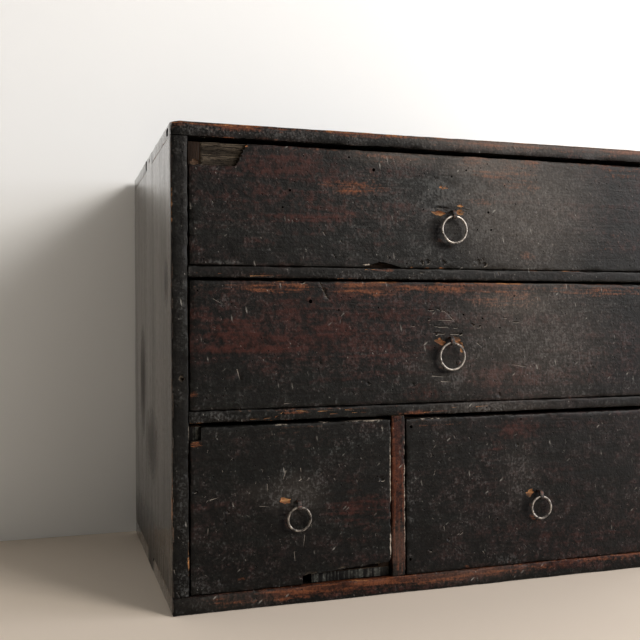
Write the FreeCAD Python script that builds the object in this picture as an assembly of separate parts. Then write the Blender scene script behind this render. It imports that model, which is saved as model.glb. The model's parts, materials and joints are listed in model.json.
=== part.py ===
import FreeCAD, Part
import math
import os

# Small old chest of drawers, in millimetres.
# The origin is the middle of the footprint on the underside.
# The front faces -Y, +X is to the right, +Z is up.

# Case
case_width = 488.0
case_depth = 300.0
case_height = 400.0
side_board = 14.0
top_board = 12.0
bottom_board = 15.0
worn_edge = 1.2              # radius of the outer edges of the case
finger_width = 41.4          # the middle finger of each three-finger corner

# Bays and what divides them
lower_bay = 139.5
middle_bay = 108.5
left_bay_width = 176.3
rail_height = 10.0
rail_depth = 30.0
dust_board = 7.0
tongue_height = 3.0
tongue_length = 5.0
partition_board = 12.5
side_housing = 5.0           # how deep the shelves are let into the sides
partition_housing = 3.0      # how deep the partition is let into the boards above and below
housing_setback = 6.0        # a housing stops this far behind the front

# Back
back_board = 7.0
back_rebate_side = 7.0
back_rebate_end = 6.0
back_board_count = 3
back_shrinkage = 0.6         # the open line between two back boards

# Drawers
front_board = 14.0
front_lap = 5.0              # what is left of the front before the drawer's sides and bottom
front_wear = 0.8             # radius of the edges of a drawer front
drawer_side = 10.0
drawer_back = 8.0
drawer_bottom = 8.0
back_drop = 4.0              # the drawer's back is this much lower than its sides
side_gap = 0.9
running_gap = 0.3
rear_gap = 0.5
top_head_gap = 3.6
middle_head_gap = 1.8
lower_head_gap = 2.9

# Broken places of the fronts
corner_chip_height = 19.7
corner_chip_low_reach = 36.0
corner_chip_high_reach = 45.0
small_chip_height = 11.0
small_chip_width = 10.5
break_low_height = 8.2
break_high_height = 13.6
break_corner = 3.5
break_start_share = 0.54     # of the front's width
bottom_notch_width = 8.5
bottom_notch_depth = 10.0

# Ring pulls
ring_wire = 2.0
large_ring = 25.5            # outer diameter
small_ring = 21.5
eye_play = 0.3               # all round, between a ring and its eye
eye_standoff = 4.7           # from the front's face to the middle of the eye
eye_drop = 4.5               # from the middle of the pin's hole down to the middle of the eye
neck_bend = 0.6              # inner radius where the pin turns down outside the front
strip_thickness = 1.0
strip_width = 3.4
leg_slot = 0.2
clinch_length = 9.0
pin_fit = 0.1

# Square nails whittled from bamboo
case_nail_length = 30.0
case_nail_head = 3.0
case_nail_tip = 1.8
nail_length = 22.0
nail_head = 2.4
nail_tip = 1.4
nail_fit = 0.05

overrun = 2.0                # how far a cutting solid runs past the face that it cuts

finger_nail_shares = (0.25, 0.75)
back_nail_end_shares = (0.3, 0.8)
back_nail_edge_shares = (0.2, 0.5, 0.8)
corner_nail_shares = (0.14, 0.5, 0.86)
bottom_nail_shares = (0.2, 0.5, 0.8)
cross_nail_shares = (0.25, 0.75)

# Planes that several pieces share
outer_x = case_width / 2
wall_x = outer_x - side_board
front_y = -case_depth / 2
rear_y = case_depth / 2
back_y = rear_y - back_board
rail_back_y = front_y + rail_depth
housing_y = front_y + housing_setback
under_top_z = case_height - top_board
lower_ceiling = bottom_board + lower_bay
middle_floor = lower_ceiling + rail_height
middle_ceiling = middle_floor + middle_bay
upper_floor = middle_ceiling + rail_height
partition_x = left_bay_width - wall_x
lap_y = front_y + front_lap
front_inner_y = front_y + front_board
drawer_rear_y = back_y - rear_gap

# Each drawer: left and right wall, floor and ceiling of its bay, gap above it, ring diameter,
# and the shares of the front's width and height at which its pull sits.
drawers = {
    "top_drawer": (-wall_x, wall_x, upper_floor, under_top_z, top_head_gap, large_ring, (0.512, 0.457)),
    "middle_drawer": (-wall_x, wall_x, middle_floor, middle_ceiling, middle_head_gap, large_ring,
                      (0.506, 0.494)),
    "lower_left_drawer": (-wall_x, partition_x, bottom_board, lower_ceiling, lower_head_gap, small_ring,
                          (0.518, 0.489)),
    "lower_right_drawer": (partition_x + partition_board, wall_x, bottom_board, lower_ceiling, lower_head_gap,
                           small_ring, (0.488, 0.446)),
}


def point(x, y, z):
    return FreeCAD.Vector(x, y, z)


def block(x0, x1, y0, y1, z0, z1):
    return Part.makeBox(x1 - x0, y1 - y0, z1 - z0, point(x0, y0, z0))


def cut_across(outline_yz, x0, x1):
    # A board whose outline is drawn from the side, as (y, z) points.
    points = [point(x0, y, z) for y, z in outline_yz]
    return Part.Face(Part.makePolygon(points + points[:1])).extrude(point(x1 - x0, 0, 0))


def cut_from_above(outline_xy, z0, z1):
    # A board whose outline is drawn from above, as (x, y) points.
    points = [point(x, y, z0) for x, y in outline_xy]
    return Part.Face(Part.makePolygon(points + points[:1])).extrude(point(0, 0, z1 - z0))


def square_wire(side, z):
    half = side / 2
    corners = [point(-half, -half, z), point(half, -half, z), point(half, half, z), point(-half, half, z)]
    return Part.makePolygon(corners + corners[:1])


def tapered_nail(nail, grow=0.0, early=0.0):
    # A nail from its head along its direction. Its hole is grown by a fit and starts before the head.
    place, direction, length, head, tip = nail
    taper = (head - tip) / length
    wide = square_wire(head + 2 * grow + taper * early, -early)
    narrow = square_wire(tip + 2 * grow, length)
    solid = Part.makeLoft([wide, narrow], True, True)
    solid.Placement = FreeCAD.Placement(place, FreeCAD.Rotation(point(0, 0, 1), direction))
    return solid


def nail_holes(board, nails):
    # The board without the room for every nail that meets it.
    near = board.BoundBox
    holes = [tapered_nail(nail, nail_fit, overrun) for nail in nails]
    holes = [hole for hole in holes if near.intersect(hole.BoundBox)]
    return board.cut(holes) if holes else board


def nail_group(nails):
    return Part.makeCompound([tapered_nail(nail) for nail in nails])


def case_nails():
    # Nails through the outer fingers of the top and bottom, and through each side's middle finger.
    nails = []
    sizes = (case_nail_length, case_nail_head, case_nail_tip)
    finger = (case_depth - finger_width) / 2
    for end in (-1, 1):
        x = end * (outer_x - side_board / 2)
        for share in finger_nail_shares:
            for y in (front_y + share * finger, rear_y - share * finger):
                nails.append((point(x, y, case_height), point(0, 0, -1)) + sizes)
                nails.append((point(x, y, 0), point(0, 0, 1)) + sizes)
        for z in (case_height - top_board / 2, bottom_board / 2):
            nails.append((point(end * outer_x, 0, z), point(-end, 0, 0)) + sizes)
    return nails


def back_opening():
    # The low and high corner of the rebate that the back boards fill, as x and z.
    x = wall_x + back_rebate_side
    return x, bottom_board - back_rebate_end, under_top_z + back_rebate_end


def back_board_levels():
    # The lower and upper edge of each back board.
    x, z0, z1 = back_opening()
    pitch = (z1 - z0 + back_shrinkage) / back_board_count
    return [(z0 + i * pitch, z0 + (i + 1) * pitch - back_shrinkage) for i in range(back_board_count)]


def back_nails():
    nails = []
    sizes = (nail_length, nail_head, nail_tip)
    inwards = point(0, -1, 0)
    x_end = wall_x + back_rebate_side / 2
    for z0, z1 in back_board_levels():
        for share in back_nail_end_shares:
            for x in (-x_end, x_end):
                nails.append((point(x, rear_y, z0 + share * (z1 - z0)), inwards) + sizes)
    for share in back_nail_edge_shares:
        x = (share * 2 - 1) * wall_x
        for z in (bottom_board - back_rebate_end / 2, under_top_z + back_rebate_end / 2):
            nails.append((point(x, rear_y, z), inwards) + sizes)
    return nails


def case_envelope():
    # The whole case as one block with its outer edges worn round.
    whole = block(-outer_x, outer_x, front_y, rear_y, 0, case_height)
    return whole.makeFillet(worn_edge, whole.Edges)


def back_recess():
    x, z0, z1 = back_opening()
    return block(-x, x, back_y, rear_y + overrun, z0, z1)


def shelf_housing(floor_z, end):
    # The stopped groove in one side for a rail and the dust board behind it.
    rail_z = floor_z - rail_height
    board_z = floor_z - dust_board
    outline = [(housing_y, rail_z), (rail_back_y, rail_z), (rail_back_y, board_z), (rear_y, board_z),
               (rear_y, floor_z), (housing_y, floor_z)]
    return cut_across(outline, end * wall_x, end * (wall_x + side_housing))


def case_side(end, nails):
    # A side stands between top and bottom, and its middle finger runs through both.
    half = finger_width / 2
    outline = [(front_y, bottom_board), (-half, bottom_board), (-half, 0), (half, 0), (half, bottom_board),
               (rear_y, bottom_board), (rear_y, under_top_z), (half, under_top_z), (half, case_height),
               (-half, case_height), (-half, under_top_z), (front_y, under_top_z)]
    board = cut_across(outline, end * wall_x, end * outer_x).common(case_envelope())
    board = board.cut([back_recess(), shelf_housing(middle_floor, end), shelf_housing(upper_floor, end)])
    return nail_holes(board, nails)


def end_board(z0, z1, nails):
    # The top or the bottom: its front and back fingers run out to the sides' outer faces.
    half = finger_width / 2
    outline = [(-outer_x, front_y), (outer_x, front_y), (outer_x, -half), (wall_x, -half), (wall_x, half),
               (outer_x, half), (outer_x, rear_y), (-outer_x, rear_y), (-outer_x, half), (-wall_x, half),
               (-wall_x, -half), (-outer_x, -half)]
    board = cut_from_above(outline, z0, z1).common(case_envelope())
    return nail_holes(board.cut(back_recess()), nails)


def partition_room():
    # What the partition fills, as a board drawn from the side and let into its neighbours.
    floor_z = bottom_board
    rail_z = lower_ceiling
    board_z = middle_floor - dust_board
    outline = [(front_y, floor_z), (housing_y, floor_z), (housing_y, floor_z - partition_housing),
               (back_y, floor_z - partition_housing), (back_y, board_z + partition_housing),
               (rail_back_y, board_z + partition_housing), (rail_back_y, rail_z + partition_housing),
               (housing_y, rail_z + partition_housing), (housing_y, rail_z), (front_y, rail_z)]
    return cut_across(outline, partition_x, partition_x + partition_board)


def rail(floor_z):
    # The front strip of a shelf, with a stub tenon at each end and a groove along its back edge.
    tenon_x = wall_x + side_housing
    outline = [(-wall_x, front_y), (wall_x, front_y), (wall_x, housing_y), (tenon_x, housing_y),
               (tenon_x, rail_back_y), (-tenon_x, rail_back_y), (-tenon_x, housing_y), (-wall_x, housing_y)]
    strip = cut_from_above(outline, floor_z - rail_height, floor_z)
    tongue_z = floor_z - (dust_board + tongue_height) / 2
    groove = block(-tenon_x - overrun, tenon_x + overrun, rail_back_y - tongue_length, rail_back_y + overrun,
                   tongue_z, tongue_z + tongue_height)
    return strip.cut(groove)


def shelf_board(floor_z):
    # The dust board behind a rail, flush with its top, with a tongue along its front edge.
    low_z = floor_z - dust_board
    tongue_z = floor_z - (dust_board + tongue_height) / 2
    tongue_y = rail_back_y - tongue_length
    outline = [(rail_back_y, low_z), (back_y, low_z), (back_y, floor_z), (rail_back_y, floor_z),
               (rail_back_y, tongue_z + tongue_height), (tongue_y, tongue_z + tongue_height),
               (tongue_y, tongue_z), (rail_back_y, tongue_z)]
    reach = wall_x + side_housing
    return cut_across(outline, -reach, reach)


def back_boards(nails):
    x = back_opening()[0]
    boards = [block(-x, x, back_y, rear_y, z0, z1) for z0, z1 in back_board_levels()]
    return [nail_holes(board, nails) for board in boards]


def drawer_box(name):
    # The outer corners of a closed drawer, from its bay and the gaps around it.
    left, right, floor_z, ceiling_z, head_gap = drawers[name][:5]
    return left + side_gap, right - side_gap, floor_z + running_gap, ceiling_z - head_gap


def pull_centre(name):
    # The middle of the eye of a drawer's pull.
    x0, x1, z0, z1 = drawer_box(name)
    x_share, z_share = drawers[name][6]
    return point(x0 + x_share * (x1 - x0), front_y - eye_standoff, z0 + z_share * (z1 - z0))


def drawer_nails(name):
    x0, x1, z0, z1 = drawer_box(name)
    sizes = (nail_length, nail_head, nail_tip)
    side_z = z0 + drawer_bottom
    front_row_y = (lap_y + front_inner_y) / 2
    back_row_y = drawer_rear_y - drawer_back / 2
    nails = []
    for x, inwards, middle_x in ((x0, 1, x0 + drawer_side / 2), (x1, -1, x1 - drawer_side / 2)):
        for share in corner_nail_shares:
            z = side_z + share * (z1 - side_z - back_drop)
            for y in (front_row_y, back_row_y):
                nails.append((point(x, y, z), point(inwards, 0, 0)) + sizes)
        for share in bottom_nail_shares:
            y = lap_y + share * (drawer_rear_y - lap_y)
            nails.append((point(middle_x, y, z0), point(0, 0, 1)) + sizes)
    for share in cross_nail_shares:
        x = x0 + share * (x1 - x0)
        for y in (front_row_y, back_row_y):
            nails.append((point(x, y, z0), point(0, 0, 1)) + sizes)
    return nails


def pin_hole(name):
    # The mortise for the folded strip, above the eye, and nothing more.
    centre = pull_centre(name)
    middle_z = centre.z + eye_drop
    half_x = strip_width / 2 + pin_fit
    half_z = strip_thickness + leg_slot / 2 + pin_fit
    return block(centre.x - half_x, centre.x + half_x, front_y - overrun, front_inner_y + overrun,
                 middle_z - half_z, middle_z + half_z)


def front_cut(edges):
    # A broken place of a front, as deep as the lap, from its outline's edges seen from the front.
    return Part.Face(Part.Wire(edges)).extrude(point(0, front_lap + overrun, 0))


def straight_edges(points):
    return [Part.LineSegment(a, b).toShape() for a, b in zip(points[:-1], points[1:])]


def corner_chip(name, height, low_reach, high_reach):
    # A chip of a front's upper left corner, with a slanted right end.
    x0, x1, z0, z1 = drawer_box(name)
    y = front_y - overrun
    slope = (high_reach - low_reach) / height
    points = [point(x0 - overrun, y, z1 - height), point(x0 + low_reach, y, z1 - height),
              point(x0 + high_reach + slope * overrun, y, z1 + overrun), point(x0 - overrun, y, z1 + overrun)]
    return front_cut(straight_edges(points + points[:1]))


def lower_break(name):
    # The broken lower edge of a front, up to its right end, with the corner above it rounded.
    x0, x1, z0, z1 = drawer_box(name)
    y = front_y - overrun
    start = x0 + break_start_share * (x1 - x0)
    bend = break_corner * (1 - math.sqrt(0.5))
    first = [point(x1 + overrun, y, z0 + break_high_height + break_corner),
             point(x1 + overrun, y, z0 - overrun),
             point(start, y, z0 - overrun),
             point(start, y, z0 + break_low_height),
             point(x1 - break_corner, y, z0 + break_high_height)]
    arc_end = point(x1, y, z0 + break_high_height + break_corner)
    arc = Part.Arc(first[-1], point(x1 - bend, y, z0 + break_high_height + bend), arc_end)
    return front_cut(straight_edges(first) + [arc.toShape()] + straight_edges([arc_end, first[0]]))


def drawer_front(name, nails):
    # The front laps over the ends of the sides and the front edge of the bottom.
    x0, x1, z0, z1 = drawer_box(name)
    board = block(x0, x1, front_y, front_inner_y, z0, z1)
    face_edges = [edge for edge in board.Edges if edge.BoundBox.YMax - front_y < front_wear]
    board = board.makeFillet(front_wear, face_edges)
    rear = front_inner_y + overrun
    rebates = [block(x0 - overrun, x0 + drawer_side, lap_y, rear, z0 - overrun, z1 + overrun),
               block(x1 - drawer_side, x1 + overrun, lap_y, rear, z0 - overrun, z1 + overrun),
               block(x0 - overrun, x1 + overrun, lap_y, rear, z0 - overrun, z0 + drawer_bottom)]
    board = board.cut(rebates + [pin_hole(name)])
    if name == "top_drawer":
        chip = corner_chip(name, corner_chip_height, corner_chip_low_reach, corner_chip_high_reach)
        board = board.cut(chip)
    if name == "lower_left_drawer":
        board = board.cut(corner_chip(name, small_chip_height, small_chip_width, small_chip_width))
        board = board.cut(lower_break(name))
    return nail_holes(board, nails)


def drawer_sides(name, nails):
    x0, x1, z0, z1 = drawer_box(name)
    low_z = z0 + drawer_bottom
    left = block(x0, x0 + drawer_side, lap_y, drawer_rear_y, low_z, z1)
    right = block(x1 - drawer_side, x1, lap_y, drawer_rear_y, low_z, z1)
    return nail_holes(left, nails), nail_holes(right, nails)


def drawer_back_board(name, nails):
    x0, x1, z0, z1 = drawer_box(name)
    board = block(x0 + drawer_side, x1 - drawer_side, drawer_rear_y - drawer_back, drawer_rear_y,
                  z0 + drawer_bottom, z1 - back_drop)
    return nail_holes(board, nails)


def drawer_bottom_board(name, nails):
    x0, x1, z0, z1 = drawer_box(name)
    board = block(x0, x1, lap_y, drawer_rear_y, z0, z0 + drawer_bottom)
    if name == "lower_left_drawer":
        start = x0 + break_start_share * (x1 - x0)
        notch = block(start, start + bottom_notch_width, lap_y - overrun, lap_y + bottom_notch_depth,
                      z0 - overrun, z0 + drawer_bottom + overrun)
        board = board.cut(notch)
    return nail_holes(board, nails)


def pull_pin(name):
    # A flat strip folded round an eye. Its two legs rise, bend into the front and are clinched behind it.
    centre = pull_centre(name)
    x = centre.x - strip_width / 2
    inner = ring_wire / 2 + eye_play
    outer = inner + strip_thickness
    slot = leg_slot / 2
    leg = slot + strip_thickness
    turn_y = leg + neck_bend
    turn_z = eye_drop - leg - neck_bend
    neck = math.sqrt(outer ** 2 - leg ** 2)
    throat = math.sqrt(inner ** 2 - slot ** 2)
    reach = front_inner_y - centre.y
    far = reach + strip_thickness
    curl = strip_thickness
    eighth = math.sqrt(0.5)

    def at(y, z):
        return point(x, centre.y + y, centre.z + z)

    def neck_turn(radius):
        # Points on the turn into the front, from its lower end to its rear end.
        return (at(turn_y - radius, turn_z), at(turn_y - radius * eighth, turn_z + radius * eighth),
                at(turn_y, turn_z + radius))

    def clinch_turn(side):
        # Points on the turn of a leg up (side 1) or down (side -1) behind the front.
        return (at(far - curl, eye_drop + side * slot),
                at(far - curl + curl * eighth, eye_drop + side * (slot + curl - curl * eighth)),
                at(far, eye_drop + side * (slot + curl)))

    outer_turn = neck_turn(neck_bend + 2 * leg)
    upper_turn = neck_turn(neck_bend + leg + slot)
    lower_turn = neck_turn(neck_bend + leg - slot)
    inner_turn = neck_turn(neck_bend)
    clinch_up = clinch_turn(1)
    clinch_down = clinch_turn(-1)
    top = eye_drop + leg
    under = eye_drop - leg
    high = eye_drop + clinch_length
    low = eye_drop - clinch_length
    edges = [
        *straight_edges([clinch_up[2], at(far, high), at(reach, high), at(reach, top), outer_turn[2]]),
        Part.Arc(*outer_turn[::-1]).toShape(),
        *straight_edges([outer_turn[0], at(-leg, neck)]),
        Part.Arc(at(-leg, neck), at(0, -outer), at(leg, neck)).toShape(),
        *straight_edges([at(leg, neck), inner_turn[0]]),
        Part.Arc(*inner_turn).toShape(),
        *straight_edges([inner_turn[2], at(reach, under), at(reach, low), at(far, low), clinch_down[2]]),
        Part.Arc(*clinch_down[::-1]).toShape(),
        *straight_edges([clinch_down[0], lower_turn[2]]),
        Part.Arc(*lower_turn[::-1]).toShape(),
        *straight_edges([lower_turn[0], at(slot, throat)]),
        Part.Arc(at(slot, throat), at(0, -inner), at(-slot, throat)).toShape(),
        *straight_edges([at(-slot, throat), upper_turn[0]]),
        Part.Arc(*upper_turn).toShape(),
        *straight_edges([upper_turn[2], clinch_up[0]]),
        Part.Arc(*clinch_up).toShape(),
    ]
    return Part.Face(Part.Wire(edges)).extrude(point(strip_width, 0, 0))


def pull_ring(name):
    # A plain ring of round wire that hangs in the eye, its plane parallel to the front.
    radius = (drawers[name][5] - ring_wire) / 2
    middle = pull_centre(name) - point(0, 0, radius)
    return Part.makeTorus(radius, ring_wire / 2, middle, point(0, 1, 0))


def case_parts():
    nails = case_nails()
    rear_nails = back_nails()
    all_nails = nails + rear_nails
    partition = partition_room()
    lower, middle, upper = back_boards(rear_nails)
    return {
        "case_left_side": case_side(-1, all_nails),
        "case_right_side": case_side(1, all_nails),
        "case_top": end_board(under_top_z, case_height, all_nails),
        "case_bottom": end_board(0, bottom_board, all_nails).cut(partition),
        "upper_rail": rail(upper_floor),
        "lower_rail": rail(middle_floor).cut(partition),
        "upper_dust_board": nail_holes(shelf_board(upper_floor), rear_nails),
        "lower_dust_board": nail_holes(shelf_board(middle_floor).cut(partition), rear_nails),
        "partition": partition,
        "back_board_lower": lower,
        "back_board_middle": middle,
        "back_board_upper": upper,
        "case_nails": nail_group(nails),
        "back_nails": nail_group(rear_nails),
    }


def drawer_parts(name):
    nails = drawer_nails(name)
    left, right = drawer_sides(name, nails)
    return {
        name + "_front": drawer_front(name, nails),
        name + "_left_side": left,
        name + "_right_side": right,
        name + "_back": drawer_back_board(name, nails),
        name + "_bottom": drawer_bottom_board(name, nails),
        name + "_nails": nail_group(nails),
        name + "_pull_pin": pull_pin(name),
        name + "_ring": pull_ring(name),
    }


parts = case_parts()
for drawer in drawers:
    parts.update(drawer_parts(drawer))

os.makedirs("parts", exist_ok=True)
for node, shape in parts.items():
    shape.exportStep("parts/" + node + ".step")
    state = "valid" if shape.isValid() else "NOT VALID"
    print(node, len(shape.Solids), "solids", round(shape.Volume), "mm3", state)
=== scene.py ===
import bmesh
import bpy
import json
import math
import numpy as np
import random
from mathutils import Matrix, Vector, noise


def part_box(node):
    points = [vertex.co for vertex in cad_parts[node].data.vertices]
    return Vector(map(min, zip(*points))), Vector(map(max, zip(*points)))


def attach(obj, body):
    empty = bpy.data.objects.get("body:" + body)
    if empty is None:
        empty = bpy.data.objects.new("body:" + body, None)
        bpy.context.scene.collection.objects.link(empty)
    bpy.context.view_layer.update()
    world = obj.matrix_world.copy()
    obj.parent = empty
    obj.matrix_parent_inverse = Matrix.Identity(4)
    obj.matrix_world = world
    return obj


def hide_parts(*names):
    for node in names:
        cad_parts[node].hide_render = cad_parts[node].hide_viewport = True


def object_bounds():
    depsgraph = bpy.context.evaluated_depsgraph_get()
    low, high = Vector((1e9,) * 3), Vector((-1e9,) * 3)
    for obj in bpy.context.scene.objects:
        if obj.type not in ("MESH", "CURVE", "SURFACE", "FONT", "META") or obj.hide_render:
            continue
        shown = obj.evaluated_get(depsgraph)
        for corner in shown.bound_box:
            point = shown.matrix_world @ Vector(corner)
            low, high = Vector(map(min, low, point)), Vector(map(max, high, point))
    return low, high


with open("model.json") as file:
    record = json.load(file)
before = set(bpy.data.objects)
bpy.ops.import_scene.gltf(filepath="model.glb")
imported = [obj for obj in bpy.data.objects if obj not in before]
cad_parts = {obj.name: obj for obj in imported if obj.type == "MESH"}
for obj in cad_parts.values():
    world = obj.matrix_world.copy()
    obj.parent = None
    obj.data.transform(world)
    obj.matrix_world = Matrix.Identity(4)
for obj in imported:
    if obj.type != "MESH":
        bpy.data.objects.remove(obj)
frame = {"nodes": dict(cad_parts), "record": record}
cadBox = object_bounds()
mm = 0.001
print("frame loaded")


# The camera of the photograph. Marks on the front are placed through it too.
view = {
    "place": (-0.338318, -0.848736, 0.233710),
    "yaw": 17.469,          # degrees to the right of +Y
    "pitch": 0.347,
    "roll": -0.3235,
    "lens": 48.662,
    "sensor": 36.0,
    "pixels": 640,
}


def cameraAxes():
    yaw, pitch, roll = (math.radians(view[key]) for key in ("yaw", "pitch", "roll"))
    forward = Vector((math.sin(yaw) * math.cos(pitch), math.cos(yaw) * math.cos(pitch), math.sin(pitch)))
    level = Vector((math.cos(yaw), -math.sin(yaw), 0))
    rise = level.cross(forward)
    right = level * math.cos(roll) + rise * math.sin(roll)
    up = rise * math.cos(roll) - level * math.sin(roll)
    return right, up, forward


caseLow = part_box("case_bottom")[0]
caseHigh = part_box("case_top")[1]
frontY = caseLow.y


def seenAt(px, py, depth=frontY, axis=1):
    # The point that a pixel of the photograph shows on a plane square to an axis.
    right, up, forward = cameraAxes()
    focal = view["lens"] / view["sensor"] * view["pixels"]
    middle = view["pixels"] / 2
    ray = forward + right * ((px - middle) / focal) - up * ((py - middle) / focal)
    place = Vector(view["place"])
    return place + ray * ((depth - place[axis]) / ray[axis])


def setCamera():
    right, up, forward = cameraAxes()
    data = bpy.data.cameras.new("camera")
    data.sensor_width = view["sensor"]
    data.lens = view["lens"]
    data.clip_start = 10 * mm
    eye = bpy.data.objects.new("camera", data)
    bpy.context.scene.collection.objects.link(eye)
    turn = Matrix((right, up, -forward)).transposed().to_4x4()
    eye.matrix_world = Matrix.Translation(view["place"]) @ turn
    bpy.context.scene.camera = eye


# Shader sums are written as sums: a wire is one socket of a finish.
class Wire:
    def __init__(self, finish, socket):
        self.finish = finish
        self.socket = socket

    def sum(self, kind, *parts):
        return self.finish.add("ShaderNodeMath", {"operation": kind}, dict(enumerate(parts)))

    def __add__(self, other):
        return self.sum("ADD", self, other)

    def __sub__(self, other):
        return self.sum("SUBTRACT", self, other)

    def __rsub__(self, other):
        return self.sum("SUBTRACT", other, self)

    def __mul__(self, other):
        return self.sum("MULTIPLY", self, other)

    def __truediv__(self, other):
        return self.sum("DIVIDE", self, other)

    def most(self, other):
        return self.sum("MAXIMUM", self, other)

    __radd__ = __add__
    __rmul__ = __mul__


def tone(code):
    # A hex colour as the linear colour that a socket takes.
    parts = [int(code[i:i + 2], 16) / 255 for i in (1, 3, 5)]
    return tuple([((p + 0.055) / 1.055) ** 2.4 if p > 0.04045 else p / 12.92 for p in parts] + [1.0])


class Finish:
    def __init__(self, name, tree=None):
        if not tree:
            self.material = bpy.data.materials.new(name)
            self.material.use_nodes = True
            tree = self.material.node_tree
        self.tree = tree
        self.tree.nodes.clear()
        self.here = self.add("ShaderNodeTexCoord", out="Object")

    def add(self, kind, settings=None, sockets=None, out=0):
        node = self.tree.nodes.new(kind)
        for key, value in (settings or {}).items():
            setattr(node, key, value)
        for key, value in (sockets or {}).items():
            if isinstance(value, Wire):
                self.tree.links.new(value.socket, node.inputs[key])
            else:
                node.inputs[key].default_value = value
        return None if out is None else Wire(self, node.outputs[out])

    def blotch(self, where, size, detail=3.0, rough=0.55, twist=0.0):
        # Noise whose blotches are about size across.
        values = {"Vector": where, "Scale": 1 / size, "Detail": detail, "Roughness": rough,
                  "Distortion": twist}
        return self.add("ShaderNodeTexNoise", None, values, "Fac")

    def cells(self, where, size):
        return self.add("ShaderNodeTexVoronoi", None, {"Vector": where, "Scale": 1 / size}, "Distance")

    def turn(self, where, degrees=(0, 0, 0), stretch=(1, 1, 1), shift=(0, 0, 0)):
        values = {"Vector": where, "Rotation": [math.radians(d) for d in degrees],
                  "Scale": [1 / s for s in stretch], "Location": shift}
        return self.add("ShaderNodeMapping", None, values)

    def ease(self, value, low, high):
        values = {"Value": value, "From Min": low, "From Max": high}
        return self.add("ShaderNodeMapRange", {"interpolation_type": "SMOOTHSTEP"}, values)

    def spread(self, value):
        # Noise keeps near a half, and this draws it out to run from 0 to 1.
        return self.ease(value, 0.32, 0.68)

    def blend(self, share, first, second):
        return self.add("ShaderNodeMix", {"data_type": "RGBA"}, {0: share, 6: first, 7: second}, 2)

    def parts(self, where):
        node = self.add("ShaderNodeSeparateXYZ", None, {0: where}).socket.node
        return [Wire(self, socket) for socket in node.outputs]

    def painted(self, layer):
        return self.add("ShaderNodeAttribute", {"attribute_name": layer}, None, "Fac")

    def close(self, colour, roughness, height, depth, **fixed):
        bump = self.add("ShaderNodeBump", None, {"Height": height, "Distance": depth, "Strength": 1.0})
        values = {"Base Color": colour, "Roughness": roughness, "Normal": bump}
        values.update({key.replace("_", " "): value for key, value in fixed.items()})
        shader = self.add("ShaderNodeBsdfPrincipled", None, values)
        self.add("ShaderNodeOutputMaterial", None, {"Surface": shader}, None)
        return self.material


def stretched(grain, length):
    # A stretch that draws a pattern out along the grain.
    return tuple(length if axis == grain else 1 for axis in "XYZ")


# Old lacquer: black-brown, hazed grey, with maroon showing through, thin at the arrises and gone on them.
# Its layers lie on the mesh: rim is the distance in mm from the nearest arris, and the others are painted.
# The layer for grime holds dirt and also painted shade, such as the shadows of the rings on the fronts.
layers = ("rim", "bare", "warm", "maroon", "haze", "dust", "pale", "grime")
lacquerLook = {
    "black": "#040404", "green": "#101210", "plum": "#1a1110", "haze": "#4c4e4e", "maroon": "#3a1a14",
    "umber": "#381f15", "amber": "#6f4229", "wood": "#6a3b20", "paleWood": "#a5754a", "fleck": "#8e8c86",
    "chalk": "#a59b8e", "dust": "#706861", "dirt": "#050404",
    "arris": 0.9,           # mm of bare wood along an arris, at most
    "thin": 7,              # mm of thin, brown lacquer beside it, at most
    "flecks": ((25, 2, 6), (-50, 3.2, 10), (80, 1.4, 4.2), (10, 4.5, 9)),   # turn, length for width, mm apart
    "pits": 8 * mm,
    "bump": 0.3 * mm,
}


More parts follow.
